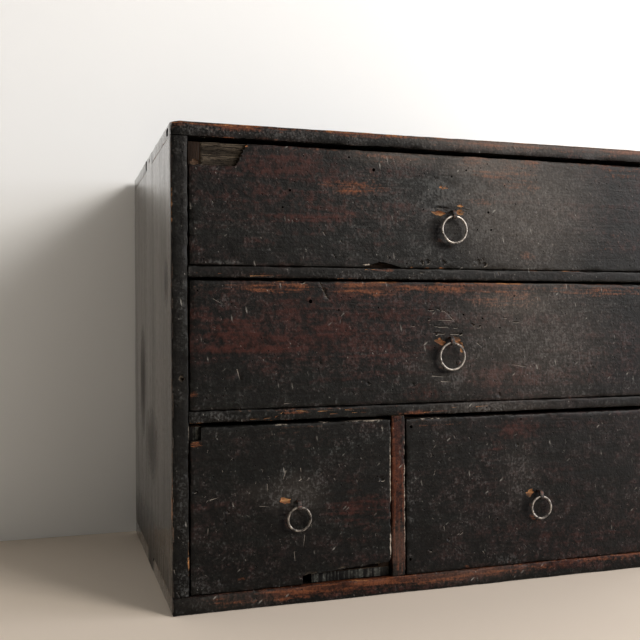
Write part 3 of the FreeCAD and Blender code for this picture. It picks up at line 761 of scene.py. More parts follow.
# Marks are placed by pixels of the photograph, and their sizes are mm. A scratch has two ends, a crack its
# width and sink too, and a hole a radius. A gouge has half its width, half its height, its depth, its tilt in
# degrees and its seed, and so do the rubbed places, lens and flakes. The arc has its middle and its radius,
# and hairs their number, their span each way and their seed. The lists named for layers are paint.
marks = {
    "top_drawer": {
        "arc": (451, 232.5, 13.6),
        "hairs": (18, 200, 600, 160, 258, 11),
        "warm": [
            (352, 188, 36, 7, 0.9), (330, 185.5, 12, 3, 1), (384, 189, 9, 4, 0.8), (497, 168, 42, 10, 0.6),
            (482, 201, 13, 6, 0.62), (482.5, 200, 2, 2, 1), (527, 257, 9, 7, 0.6), (424, 256, 12, 5, 0.35),
            (300, 148, 60, 4, 0.45), (372, 177, 8, 10, 0.5), (400, 157, 50, 8, 0.6), (474, 162, 15, 6, 1),
            (530, 162, 12, 7, 0.9), (520, 186, 24, 10, 0.6), (500, 172, 40, 12, 0.7),
            (610, 170, 60, 12, 0.5), (330, 206, 60, 12, 0.25), (600, 240, 50, 16, 0.3)],
        "maroon": [
            (320, 214, 44, 20, 0.85), (330, 208, 130, 52, 0.4), (290, 166, 60, 12, 0.8),
            (398, 172, 30, 12, 0.5), (375, 235, 40, 14, 0.6), (500, 190, 34, 18, 0.7),
            (270, 240, 40, 12, 0.4), (398, 216, 20, 24, 0.6)],
        # The broad haze and dust towards the right are painted sheen, lighter where the window's light is
        # reflected; the small patches are haze.
        "haze": [
            (440, 196, 26, 26, 0.8), (226, 262, 20, 2, 1.2), (455, 250, 60, 10, 0.45),
            (505, 205, 72, 60, 0.75), (430, 205, 100, 50, 0.35)],
        "dust": [(525, 205, 58, 60, 0.24), (495, 166, 45, 14, 0.36), (400, 157, 44, 8, 0.2)],
        # Painted shadow of the ring, to its left, below it and inside it, and painted shade in the slot above
        # the pin.
        "grime": [
            (436.5, 231, 6, 14, 1.1), (444, 246, 9, 4, 1.1), (453, 230, 9, 12, 0.5),
            (448, 207.6, 13, 1.4, 0.9)],
        # Pale lines at broken edges: painted highlight, with some chalky wear.
        "pale": [(204, 164.4, 14, 0.8, 0.6), (367, 264.6, 5, 0.9, 0.9)],
        "bare": [
            (443, 187.6, 5, 2.5, 0.75), (246, 146, 9, 1.5, 1), (411, 267.6, 4, 1, 0.9),
            (428, 268, 4, 1, 0.9), (441, 268, 5, 1, 1), (460, 233.5, 1, 1, 0.8)],
        "holes": [
            (349, 157.3, 0.9), (373.8, 169.8, 1.5), (451.7, 176.6, 0.9), (466.3, 170.3, 0.9),
            (290, 190.3, 1.1), (282.5, 207.3, 0.8), (488.3, 212.5, 1.1), (491.2, 230, 1),
            (477.6, 229.8, 0.7), (423.4, 209.7, 0.7), (504.8, 185.8, 0.6), (455, 234, 0.5),
            (356, 228.5, 0.6)],
        "gouges": [
            (455.4, 211.6, 1.5, 2.4, 1.4, 10, 14), (445, 207.7, 3.6, 0.9, 0.8, 3, 16),
            (466, 209.6, 3.2, 0.9, 0.8, 6, 18), (421.5, 262.5, 2.2, 2.8, 1, 20, 3),
            (427.6, 261.5, 2.6, 2.6, 1.2, -15, 5), (443.2, 262, 3.2, 2.2, 0.9, 10, 7),
            (478, 261.5, 3.4, 3, 1, 25, 9), (484.5, 264.5, 3, 2.6, 1.6, -20, 11),
            (438.6, 207, 3.6, 1.5, 1.2, 5, 13)],
        "scratches": [
            (270, 248.5, 271.2, 253), (292.6, 219.6, 293.6, 223.8), (518, 188.6, 514.5, 188.9),
            (323, 232, 328, 239), (212.5, 201, 214, 206), (340, 240.5, 342.5, 243), (226, 201, 227.5, 204),
            (419.8, 261.4, 421, 265), (426.4, 258.8, 428.6, 260.4), (440.6, 260.6, 442.6, 262.4),
            (444.4, 261.6, 446, 264), (474, 265.4, 477, 266.2), (481.8, 258.6, 483.2, 261.4),
            (476, 260.4, 478, 261.2), (482.4, 267, 485.6, 267.6), (433.4, 208, 435.4, 211)],
        "rubbed": [
            (439.5, 213.6, 7.2, 2.4, 0.9, 4, 15), (459, 212.4, 5.2, 2.4, 0.9, -6, 17),
            (460.6, 206.2, 3.6, 1.6, 0.6, 12, 19), (440.8, 187.4, 1.9, 1.6, 0.4, 10, 24),
            (445.4, 187.9, 2.2, 1.4, 0.4, -8, 26)],
    },
    "middle_drawer": {
        "arc": (449.5, 357, 13.8),
        "hairs": (30, 200, 600, 300, 396, 12),
        "cracks": [(319.6, 281, 323.4, 290, 1, 0.8), (323, 288.6, 325.8, 295.4, 1.1, 0.8),
                   (325.4, 294.6, 330, 300.4, 0.9, 0.6)],
        "warm": [
            (275, 288, 48, 7, 0.9), (330, 287, 30, 4, 0.7), (378, 288, 56, 8, 1), (480, 287, 60, 7, 0.95),
            (505, 299, 40, 13, 0.62), (193, 396, 4, 5, 0.9), (200, 287, 12, 6, 0.4),
            (290, 300, 60, 8, 0.35), (600, 290, 60, 8, 0.7)],
        "maroon": [
            (240, 330, 30, 13, 0.9), (330, 335, 140, 55, 0.4), (332, 330, 24, 12, 0.8),
            (424, 393, 24, 9, 1), (498, 376, 36, 13, 0.7), (256, 350, 50, 5, 0.8), (300, 305, 26, 12, 0.6),
            (390, 350, 40, 10, 0.5), (222, 300, 30, 12, 0.6)],
        # The broad haze and dust towards the right are painted sheen, lighter where the window's light is
        # reflected; the small patches are haze.
        "haze": [
            (474, 345, 12, 12, 0.5), (448, 380, 22, 7, 0.7), (452, 318, 26, 10, 0.45),
            (219, 302, 10, 6, 0.6), (490, 340, 130, 60, 0.28), (540, 330, 74, 70, 0.4)],
        "dust": [(520, 304, 40, 16, 0.24), (535, 330, 62, 60, 0.14), (490, 366, 60, 24, 0.1)],
        # Painted shadow of the ring, to its left, below it and inside it, and painted shade beside the pin.
        "grime": [
            (435.5, 356, 6, 13, 1.1), (444, 371, 9, 4, 1), (451, 356, 9, 12, 0.45), (456, 338, 5, 2, 0.7)],
        "bare": [
            (390, 282.4, 70, 1.2, 0.75), (270, 281.6, 34, 1.2, 0.6), (500, 283.4, 50, 1.2, 0.7),
            (369, 349, 1.5, 3, 0.9), (193, 396, 3, 2.4, 0.75), (320, 331, 3, 8, 0.3)],
        "holes": [
            (310.6, 301.4, 1.7), (339, 310, 0.8), (378.5, 307.8, 0.8), (463.5, 314.8, 0.9),
            (482.4, 318.4, 0.8), (500, 327.8, 0.8), (514.2, 296, 0.8), (197.3, 290.8, 0.7),
            (430, 310, 0.7)],
        "gouges": [
            (302, 282, 3, 1.6, 2, 0, 21), (430.5, 309.9, 3.4, 0.7, 1.2, 3, 23),
            (428.6, 319.3, 2.2, 1, 1.2, 8, 25), (445, 319.6, 9.5, 0.6, 1, 2, 27),
            (441, 326.4, 8, 0.8, 1.2, 3, 29), (455, 327.6, 3.6, 0.7, 1, -2, 31),
            (438, 333.2, 7, 0.9, 1.3, 2, 33), (455, 333.6, 6.5, 0.8, 1.2, -1, 35),
            (472.5, 324.6, 3.2, 1.6, 1.1, 25, 37), (479, 326.6, 2.6, 1.4, 1.1, -20, 39),
            (412.8, 325.5, 3.4, 0.8, 0.9, 4, 41), (515, 321.8, 4.2, 0.8, 0.9, 3, 43),
            (505, 318, 2.4, 0.6, 0.8, 0, 45), (368, 383.5, 2.4, 1.8, 0.8, 30, 47),
            (412.8, 384.4, 2.8, 1.5, 0.8, 0, 49), (499.6, 395, 2.2, 3.2, 0.9, -10, 51),
            (436.5, 334, 2.2, 1.4, 1.6, 0, 53), (460.5, 334, 2.4, 1.2, 1.6, 0, 55)],
        "scratches": [
            (318.9, 281.6, 322.4, 290), (322.2, 289.4, 325, 296), (324.8, 295.6, 329.8, 301),
            (237, 369, 241.7, 386.8), (319, 362, 321, 367), (340.8, 320, 341, 326),
            (447.4, 313.2, 456.8, 324.4), (437, 309.4, 442, 310.6), (442, 310.6, 447.4, 313.2),
            (444.4, 311.4, 449, 314.6), (284, 403.6, 294.8, 403.2), (213, 298.6, 226, 306),
            (477, 343, 482, 347), (512.5, 364.6, 532, 367.2), (520, 366.4, 533, 366.8),
            (432, 376, 447, 377), (441, 381.4, 456, 382.2)],
        "rubbed": [
            (441, 341.6, 6, 3, 0.9, 6, 57), (457.5, 341.5, 6, 3.2, 0.9, 40, 59),
            (462, 349, 2, 4.5, 0.6, 10, 61)],
    },
    "lower_left_drawer": {
        "arc": (297.5, 519.5, 12.4),
        "hairs": (44, 200, 385, 432, 560, 13),
        "warm": [(286, 430, 40, 5, 0.45), (196, 444, 7, 3, 1), (242, 579, 6, 2, 0.9)],
        "maroon": [(362, 512, 30, 28, 0.9), (250, 455, 50, 20, 0.35), (300, 445, 40, 14, 0.5)],
        "dust": [(296, 494, 26, 18, 0.12), (260, 492, 18, 8, 0.06)],
        "haze": [
            (293, 491, 30, 18, 0.55), (360, 440, 34, 14, 0.2), (230, 560, 30, 16, 0.15),
            (205, 585, 14, 10, 0.3)],
        # Painted shadow of the ring, to its left, below it and inside it.
        "grime": [(283, 518, 5, 13, 1), (290, 531, 8, 4, 0.9), (299, 517, 8, 10, 0.3)],
        "bare": [(195, 444.2, 6, 1.6, 0.45), (322.6, 465, 2.6, 1.1, 0.8), (285, 425.6, 9, 1.2, 0.6)],
        # Pale lines along the arrises: painted highlight, with some chalky wear.
        "pale": [
            (391.2, 480, 1.3, 62, 0.9), (391, 545, 1.3, 15, 0.9), (365, 420.6, 26, 1.2, 0.66),
            (282, 425, 9, 1.3, 0.66), (325, 422.6, 8, 1.2, 0.6), (334, 464.6, 2, 1, 0.5)],
        "holes": [(197, 492, 0.8), (377.5, 476.5, 0.7)],
        "gouges": [
            (381.5, 479, 3, 2.4, 0.8, 30, 63), (194.6, 492, 3, 1.4, 0.7, -20, 65),
            (227, 512, 2.6, 1.8, 0.7, 40, 67), (225.5, 522, 2, 2.6, 0.7, 0, 69),
            (300, 479, 2.6, 1.2, 0.5, -30, 71)],
        "scratches": [
            (286.2, 470.5, 281.8, 483.5), (267.3, 484, 267.9, 494.6), (209.7, 500.3, 222.7, 496.4),
            (247, 515.4, 258, 522.6), (266.6, 535.2, 265, 543.4), (304.9, 535.4, 303.2, 548.4),
            (294.3, 551.5, 295.1, 561.2), (208.2, 528.6, 207.6, 538.6), (356.9, 479.8, 357.8, 484.2),
            (259.3, 506.2, 275.6, 507.2), (379, 481.6, 384, 476.4), (334, 478, 336.5, 481.6),
            (339, 464, 341, 470), (300.6, 468, 301.4, 473)],
        "flakes": [
            (310.6, 573.6, 5.6, 1.5, 0.7, -6, 101), (342.4, 567.4, 5.2, 0.9, 0.6, -8, 103),
            (378, 562.6, 2.8, 1, 0.6, -10, 105)],
        "lens": [(285, 501, 5.6, 2.9, 0.7, 8, 73)],
        "rubbed": [
            (193.4, 442.4, 4.2, 0.6, 0.4, 8, 93), (196, 445, 5.4, 0.5, 0.4, 6, 94),
            (192, 446.6, 3, 0.5, 0.3, 4, 95)],
    },
    "lower_right_drawer": {
        "arc": (541, 510, 11.6),
        "hairs": (40, 412, 600, 428, 556, 14),
        "warm": [(440, 424, 34, 3, 0.5), (468, 568, 4, 2, 1)],
        # Pale lines along the arrises: painted highlight, with some chalky wear.
        "pale": [(430, 418.6, 26, 1.2, 0.6), (500, 415, 26, 1.2, 0.45)],
        "maroon": [
            (517, 434, 22, 14, 0.7), (497, 445, 8, 8, 0.7), (450, 447, 14, 5, 0.6), (475, 462, 20, 6, 0.4)],
        # Painted shadow of the ring, to its left.
        "grime": [(526, 508, 5, 13, 1)],
        # The haze and dust towards the right are painted sheen, lighter where the window's light is
        # reflected; the small patches are haze.
        "dust": [(520, 472, 18, 28, 0.05)],
        "haze": [
            (518, 475, 20, 28, 0.35), (508, 560, 14, 5, 0.6), (410, 520, 6, 50, 0.35),
            (450, 470, 50, 40, 0.1)],
        "bare": [
            (428, 421, 24, 1, 0.8), (462.5, 492, 1.2, 2.6, 0.9), (439, 506.6, 2.2, 2.4, 0.8),
            (470, 418.6, 40, 1, 0.4)],
        "holes": [(411.2, 426.8, 1.5), (410.6, 559.6, 1.3), (497.6, 519, 0.8), (521, 419, 0.8)],
        "gouges": [
            (448.4, 539.6, 1.6, 2.4, 0.7, -35, 75), (430, 550.6, 2.4, 1.4, 0.7, 10, 77),
            (517, 444.8, 2.2, 2, 0.7, 0, 79), (461, 533, 2.8, 1, 0.6, -35, 81)],
        "scratches": [
            (469, 437, 472, 443), (435.6, 445.4, 432, 450.6), (444, 526.4, 445, 531),
            (455, 549, 461, 543.4), (457.6, 534.8, 464.4, 531), (489.4, 515.6, 490, 522),
            (454, 435.6, 456, 440), (483, 551, 485.5, 555.6), (438.4, 434.6, 437.6, 439.4),
            (474.6, 552.4, 476.4, 556)],
        "rubbed": [(529.6, 492.4, 4.6, 3.4, 0.8, 0, 83)],
    },
}


hairShape = {"turn": (90, 35), "length": (1.5, 5), "bend": 9}       # degrees, pixels, degrees


def hairs(count, x0, x1, y0, y1, seed):
    # Fine short scratches, most of them upright, as two strokes with a slight bend.
    dice = random.Random(seed)
    for _ in range(count):
        x, y = dice.uniform(x0, x1), dice.uniform(y0, y1)
        turn, size = dice.gauss(*hairShape["turn"]), dice.uniform(*hairShape["length"])
        for bend in (-hairShape["bend"], hairShape["bend"]):
            angle = math.radians(turn + bend)
            after = x + size / 2 * math.cos(angle), y + size / 2 * math.sin(angle)
            yield x, y, *after
            x, y = after


def arcOf(x, y, radius):
    # The arc that a ring has rubbed beside it.
    wide, strength = fronts["arc"]
    for degrees in range(150, 276, 12):
        angle = math.radians(degrees)
        yield x + radius * math.cos(angle), y - radius * math.sin(angle), wide, wide, strength


def rebate(low, high):
    # What is cut off the back of a front for the sides and the bottom: a block without its middle.
    beyond = 2 * mm
    rear = low.y + fronts["lap"]
    clear = fronts["clear"]
    waste = addBlock("rebate", (low.x - beyond, rear, low.z - beyond),
                     (high.x + beyond, high.y + beyond, high.z + beyond))
    inset = fronts["side"] + clear
    middle = addBlock("middle", (low.x + inset, rear - beyond, low.z + fronts["bottom"] + clear),
                      (high.x - inset, high.y + 2 * beyond, high.z + 2 * beyond))
    apply(waste, "BOOLEAN", object=middle, operation="DIFFERENCE", solver="MANIFOLD")
    bpy.data.objects.remove(middle)
    return waste


# Broken upper left corners: how far they reach down, and to the right below and above. Their lower line and
# their end are ragged: by how much, how closely, and from which seed.
chip = {"height": 19.7 * mm, "lowReach": 39 * mm, "highReach": 50 * mm,
        "ragged": (0.9 * mm, 9, 3), "end": (1.6 * mm, 1.6, 0)}
notch = {"height": 11 * mm, "lowReach": 9 * mm, "highReach": 9 * mm,
         "ragged": (0.8 * mm, 4, 8), "end": (0.9 * mm, 2.2, 4)}


def cornerShape(own):
    def shape(u, v, low, high):
        ragged, waves, seed = own["ragged"]
        base = high.z - own["height"] + ragged * noise.noise(Vector((u * waves, seed, 1)))
        z = base + v * (high.z + past - base)
        ragged, wave, seed = own["end"]
        reach = own["lowReach"] + (own["highReach"] - own["lowReach"]) * v
        reach += ragged * noise.noise(Vector((z / mm / wave, seed, 7)))
        return low.x - past + u * (reach + past), z
    return shape


edgeChip = {"left": 364.5, "peak": 380.3, "right": 401, "top": 261.6, "base": 267.6}


def edgeChipShape(u, v, low, high):
    # A flake out of the lower edge: steep on the left, and drawn out to the right.
    left, peak, right, top, base = edgeChip.values()
    x = left + u * (right - left)
    share = (x - left) / (peak - left) if x < peak else (right - x) / (right - peak)
    tip = seenAt(x, base - share ** 0.8 * (base - top) + 0.5 * noise.noise(Vector((u * 14, 2, 2))))
    return tip.x, low.z - past + v * (tip.z - low.z + past)


lowBreak = {"startShare": 0.54, "lowHeight": 8.2 * mm, "highHeight": 13.6 * mm, "corner": 3.5 * mm}


def breakShape(u, v, low, high):
    # The broken lower edge of the left drawer rises to the right and curls up at the corner.
    start = low.x + lowBreak["startShare"] * (high.x - low.x)
    x = start + u * (high.x + past - start)
    top = lowBreak["lowHeight"] + (lowBreak["highHeight"] - lowBreak["lowHeight"]) * min(1, u * 1.04)
    coarse, fine = Vector((x / mm / 7, 2, 4)), Vector((x / mm / 1.7, 5, 4))
    top += 0.9 * mm * noise.noise(coarse) + 0.4 * mm * noise.noise(fine)
    top += max(0, x - high.x + lowBreak["corner"]) ** 2 / lowBreak["corner"]
    return x, low.z - past + v * (top + past)


# Broken places: shape, depth in mm, cells of the cutter's grid, and finish. The hole finish is near-black
# painted shade.
brokenPlaces = {
    "top_drawer": [(cornerShape(chip), 5, (60, 34), "broken"), (edgeChipShape, 5.8, (30, 8), "hole")],
    "lower_left_drawer": [(cornerShape(notch), 6, (12, 16), "hole"), (breakShape, 6, (70, 10), "hole")],
}


def rubbedBoard(name, low, high, planes, stuff, grid, arris):
    # A board of which the front's arrises are rubbed round.
    piece = addBlock(name, low, high)
    dress(piece, stuff)
    divide(piece, grid)
    roundOff(piece, arris, lambda edge: isSharp(edge) and min(v.co.y for v in edge.verts) < low.y + 1e-6)
    weather(piece, planes)
    return piece


def drawerFront(drawer):
    node = drawer + "_front"
    low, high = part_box(node)
    own = marks[drawer]
    planes = boundsOf(low, high, "XZ") + [(1, low.y)]
    piece = rubbedBoard(titled(node), low, high, planes, "front", fronts["grid"], fronts["arris"])
    sortFaces(piece, lambda face: face.normal.y > 0.5, "woodX")
    carve(piece, [rebate(low, high)], "woodX")
    for shape, deep, cells, stuff in brokenPlaces.get(drawer, []):
        carve(piece, [slab(low, high, low.y + deep * mm, cells, shape)], stuff)
    # Holes are lined with near-black painted shade.
    carve(piece, [hole(*spot) for spot in own["holes"]], "hole")
    # Each gouge first gets a pale rim beside it, chalky wear and painted highlight, from a shallower cut in
    # scratched wood.
    dent = fronts["dent"]
    carve(piece, [gouge(x + dent, y + dent, wide, tall, deep * dent, *more)
                  for x, y, wide, tall, deep, *more in own["gouges"]], "scratched")
    carve(piece, [gouge(*spot) for spot in own["gouges"]])
    for key, rough, stuff in (("rubbed", 0.6, "rubbed"), ("lens", 0.45, "rubbed"), ("flakes", 0.6, "broken")):
        carve(piece, [gouge(*spot, rough) for spot in own.get(key, [])], stuff)
    carve(piece, [scratch(*ends) for ends in own["scratches"]], "scratched")
    carve(piece, [scratch(*ends, *fronts["hair"]) for ends in hairs(*own["hairs"])], "scratched")
    carve(piece, [scratch(*ends) for ends in own.get("cracks", [])], "broken")
    paintAll(piece, {**own, "warm": own["warm"] + list(arcOf(*own["arc"]))})
    return finishPiece(piece, node, planes)


for drawer in marks:
    piece = drawerFront(drawer)
    print(piece.name, len(piece.data.polygons), "faces")


# The case's boards.
caseBoards = {
    "grid": 4 * mm,
    "arris": 1.7 * mm,
    "opening": 0.8 * mm,
    "joint": 0.3 * mm,
    "darkened": 25 * mm,         # how far the lacquer goes back into the openings
    "finger": 20.7 * mm,         # half the middle finger
    "shrunk": 0.2 * mm,          # how far a joint has opened on each side
    "rebateSide": 7 * mm,
    "rebateEnd": 6 * mm,
    "back": 7 * mm,
}
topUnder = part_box("case_top")[0].z
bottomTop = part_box("case_bottom")[1].z
backFace = caseHigh.y - caseBoards["back"]


def onCaseArris(edge):
    middle = (edge.verts[0].co + edge.verts[1].co) / 2
    near = sum(abs(middle[axis] - place) < 1e-5 for axis, place in envelope)
    return isSharp(edge) and near >= 2


def onOpening(edge):
    # Front arrises round the opening.
    middle = (edge.verts[0].co + edge.verts[1].co) / 2
    beside = min(abs(middle.x - wallLeft), abs(middle.x - wallRight),
                 abs(middle.z - topUnder), abs(middle.z - bottomTop))
    return isSharp(edge) and abs(middle.y - frontY) < 1e-5 and beside < 1e-5


def backRoom():
    side, end = caseBoards["rebateSide"], caseBoards["rebateEnd"]
    return addBlock("backRoom", (wallLeft - side, backFace, bottomTop - end),
                    (wallRight + side, caseHigh.y + past, topUnder + end))


def caseBoard(node, rooms, stuff, planes):
    low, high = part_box(node)
    piece = addBlock(titled(node), low, high)
    dress(piece, stuff)
    for room in rooms:
        carve(piece, [addBlock("room", *room)])
    carve(piece, [backRoom()])
    roundOff(piece, caseBoards["arris"], onCaseArris)
    roundOff(piece, caseBoards["opening"], onOpening)
    roundOff(piece, caseBoards["joint"], isSharp, 1)
    for axis in range(3):
        score(piece, axis, caseBoards["grid"])
    weather(piece, planes)
    return piece


def caseSide(node, outwards):
    low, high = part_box(node)
    gap = caseBoards["shrunk"]
    half = caseBoards["finger"] - gap
    rooms = []
    for y0, y1 in ((low.y - past, -half), (half, high.y + past)):
        rooms.append(((low.x - past, y0, topUnder - gap / 2), (high.x + past, y1, high.z + past)))
        rooms.append(((low.x - past, y0, low.z - past), (high.x + past, y1, bottomTop + gap / 2)))
    planes = envelope + [(0, wallLeft if outwards < 0 else wallRight)]
    piece = caseBoard(node, rooms, "stile", planes)
    inside = low.y + caseBoards["darkened"]
    sortFaces(piece, lambda face: face.normal.x * outwards < -0.5 and face.center.y > inside, "woodZ")
    # The left side takes the lacquer with painted reflection, the right side its darker copy.
    sortFaces(piece, lambda face: face.normal.x * outwards > 0.5, "side" if outwards < 0 else "rightSide")
    return piece, planes


def endBoard(node, planes):
    low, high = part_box(node)
    gap = caseBoards["shrunk"]
    half = caseBoards["finger"]
    rooms = [((low.x - past, -half, low.z - past), (wallLeft + gap, half, high.z + past)),
             ((wallRight - gap, -half, low.z - past), (high.x + past, half, high.z + past))]
    piece = caseBoard(node, rooms, "case", planes)
    sortFaces(piece, lambda face: face.normal.x < -0.7 and face.center.x < wallLeft, "side")
    sortFaces(piece, lambda face: face.normal.x > 0.7 and face.center.x > wallRight, "rightSide")
    sortFaces(piece, lambda face: face.normal.z > 0.7 and face.center.z > caseHigh.z - 2 * mm, "topFace")
    sortFaces(piece, lambda face: abs(face.normal.z) > 0.5 and face.center.z < topUnder + 2 * mm
              and (face.center.z > bottomTop - 1 * mm or face.center.z < 1 * mm)
              and face.center.y > low.y + caseBoards["darkened"], "woodX")
    return piece


caseMarks = {
    "left": {
        "haze": [(180, 590, 8, 24, 0.6), (180, 480, 8, 60, 0.1)],
        "warm": [(171, 505, 2, 30, 0.8), (171, 160, 2, 30, 0.4)],
        # Pale lines along the stile's inner arris: painted highlight, with some chalky wear.
        "pale": [(189, 149, 0.8, 13, 0.86), (189, 435, 0.8, 12, 0.86)],
        "bare": [(171, 505, 1.6, 30, 0.9), (171, 200, 1.6, 40, 0.7), (171, 290, 1.6, 40, 0.6),
                 (188.8, 560, 1.2, 30, 0.6)],
        # Dark upright streaks of grime on the side, and a darkening towards its bottom that is painted shade.
        "sideGrime": [(143, 380, 2, 40, 0.9), (166, 283, 1.5, 18, 0.9), (152, 443, 5, 28, 0.6),
                      (150, 600, 50, 66, 1.1)],
        "knot": (181.4, 379, 2.6, 3, 0.9, 25, 91),
        "knotHole": (182.6, 379.6, 1.1),
        "scratches": [(177, 592, 181, 600), (175, 601, 186, 601.2), (174, 570, 175.4, 575),
                      (178.5, 537, 179.4, 541)],
    },
    "top": {
        "warm": [(490, 143, 60, 7, 1), (620, 150, 80, 8, 0.95), (265, 138, 40, 1.5, 0.9)]
        + [(x, 122.6 + 0.0605 * (x - 172), 20, 3, 0.95 + 0.25 * math.sin(x)) for x in range(180, 780, 24)],
        "dust": [(500, 143, 70, 8, 0.3), (640, 151, 80, 8, 0.2)],
        "bare": [(x, 121.4 + 0.0605 * (x - 172), 16, 1.6, 0.8 + 0.2 * math.sin(x * 2))
                 for x in range(180, 780, 24)],
        "haze": [(290, 133, 110, 5, 0.45), (420, 142, 40, 4, 0.35), (210, 129, 40, 5, 0.5)],
    },
    "bottom": {
        "warm": [(x, 585.5 - 0.118 * (x - 345), 22, 8, 1.15 if 270 < x < 490 else 0.75)
                 for x in range(226, 780, 20)],
        "maroon": [(420, 578, 240, 12, 1)],
        "dust": [(475, 572, 50, 9, 0.1), (232, 599, 48, 9, 0.08)],
        "bare": [(345, 582.6, 50, 1, 0.7), (460, 569, 60, 1, 0.5)],
    },
    "partition": {
        "bare": [(404.8, 495, 0.7, 85, 0.5), (393, 560, 1, 12, 0.6)],
        # Pale line along the partition's arris: painted highlight, with some chalky wear.
        "pale": [(404.9, 495, 0.7, 85, 0.75)],
        "warm": [(399, 500, 9, 95, 0.8), (399, 547, 10, 24, 1.3)],
        "dust": [(399, 547, 10, 22, 0.12)],
        "maroon": [(397, 470, 6, 60, 0.8)],
    },
}

left, leftPlanes = caseSide("case_left_side", -1)
leftMarks = caseMarks["left"]
carve(left, [gouge(*leftMarks["knot"])], "broken")
# The knot's hole is lined with near-black painted shade.
carve(left, [hole(*leftMarks["knotHole"])], "hole")
carve(left, [scratch(*ends, width=0.4) for ends in leftMarks["scratches"]], "scratched")
paintAll(left, leftMarks)
# The side's outer face takes its grime and painted shade.
paint(left, "grime", leftMarks["sideGrime"], caseLow.x, 0)
finishPiece(left, "case_left_side", leftPlanes)
right, rightPlanes = caseSide("case_right_side", 1)
finishPiece(right, "case_right_side", rightPlanes)

# Chips out of the ends of the top's fingers show as dark gaps along the side's upper edge, lined with
# near-black painted shade.
endChips = {
    "places": [(-131.5, 393.6, 6.5, 3.2), (-18.5, 395.5, 2.2, 6), (26.5, 394.6, 5.5, 6.5)],
    "deep": 4.5 * mm,
}
cornerRadius = 5 * mm


def endChip(y, z, wide, tall, seed):
    cutter = ball()
    for vertex in cutter.data.vertices:
        vertex.co *= 1 + 0.28 * noise.noise(vertex.co * 1.9 + Vector((seed, 0, 0)))
        vertex.co.y = math.copysign(abs(vertex.co.y) ** 0.6, vertex.co.y)
    return placed(cutter, Matrix.Translation((caseLow.x, y * mm, z * mm))
                  @ Matrix.Diagonal((endChips["deep"], wide * mm, tall * mm)).to_4x4())


def roundCorner(piece, corner, radius):
    # Rubs a corner of the case down to part of a ball.
    inwards = Vector([1 if corner[axis] < 0.01 else -1 for axis in range(3)])
    middle = corner + inwards * radius
    for vertex in piece.data.vertices:
        away = vertex.co - middle
        if all(away[axis] * inwards[axis] < 0 for axis in range(3)) and away.length > radius:
            vertex.co = middle + away * (radius / away.length)


topPlanes = envelope + [(2, topUnder)]
top = endBoard("case_top", topPlanes)
for x in (caseLow.x, caseHigh.x):
    roundCorner(top, Vector((x, caseLow.y, caseHigh.z)), cornerRadius)
carve(top, [endChip(*place, seed=i * 3 + 2) for i, place in enumerate(endChips["places"])], "hole")
paintAll(top, caseMarks["top"])
finishPiece(top, "case_top", topPlanes)
bottomPlanes = envelope + [(2, bottomTop)]
bottom = endBoard("case_bottom", bottomPlanes)
paintAll(bottom, caseMarks["bottom"])
finishPiece(bottom, "case_bottom", bottomPlanes)
print("case sides, top and bottom made")


rails = {"grid": 2.2 * mm, "arris": 0.9 * mm, "scratch": 0.35, "line": (0.42, 0.16)}

# A line is a scratch that leads on through several pixels.
railMarks = {
    "upper_rail": {
        "warm": [(260, 275, 40, 2.5, 0.7), (380, 270, 14, 1.5, 1.0)],
        "bare": [(380, 270, 6, 1.2, 0.7)],
        "haze": [(350, 277, 160, 4, 0.25)],
        "scratches": [(409, 277, 414, 280), (420, 273, 424, 273.4), (498, 272, 499, 276)],
        "lines": [[(196, 273), (218, 273.4), (232, 274.2)], [(222, 276.4), (250, 276), (297, 274.6)],
                  [(365, 269.6), (383, 269.2), (399, 270)]],
    },
    "lower_rail": {
        "warm": [(290, 411, 22, 4, 0.7), (262, 419, 24, 2, 0.6), (360, 408, 60, 2, 0.5),
                 (425, 412, 30, 3, 0.75), (500, 405, 40, 3, 0.4)],
        "dust": [(490, 407, 60, 6, 0.1)],
        "bare": [(284, 412, 6, 1.2, 0.8), (262, 419.5, 20, 0.8, 0.6), (426, 413, 8, 1.2, 0.7)],
        "haze": [(220, 416, 40, 5, 0.25), (330, 408, 12, 4, 0.3), (480, 408, 60, 6, 0.5)],
        "scratches": [(328, 406, 333, 409), (478, 409, 483, 408.4), (496, 409, 500, 411)],
        "lines": [[(216, 412.2), (240, 411.2), (270, 410.2), (283, 409.6)],
                  [(250, 419.4), (264, 418.8), (275, 417.4), (281, 413.6), (285, 410.4), (292, 409.4)],
                  [(296, 410.8), (318, 411.4), (345, 409.8), (368, 410.4)],
                  [(330, 414), (352, 412.6), (380, 412)], [(405, 413.4), (424, 412.4), (441, 411)],
                  [(452, 407.4), (476, 406.8), (495, 404.6)]],
    },
}


def rail(node):
    low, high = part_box(node)
    low.x, high.x = wallLeft, wallRight
    own = railMarks[node]
    planes = boundsOf(low, high, "Z") + [(1, low.y)]
    piece = rubbedBoard(titled(node), low, high, planes, "case", rails["grid"], rails["arris"])
    sortFaces(piece, lambda face: face.center.y > low.y + caseBoards["darkened"], "woodX")
    carve(piece, [scratch(*ends, rails["scratch"]) for ends in own["scratches"]], "scratched")
    for line in own["lines"]:
        ends = zip(line, line[1:])
        carve(piece, [scratch(*first, *last, *rails["line"]) for first, last in ends], "rubbed")
    paintAll(piece, own)
    finishPiece(piece, node, planes)


for node in railMarks:
    rail(node)


partition = (3 * mm, 0.9 * mm)      # grid, arris


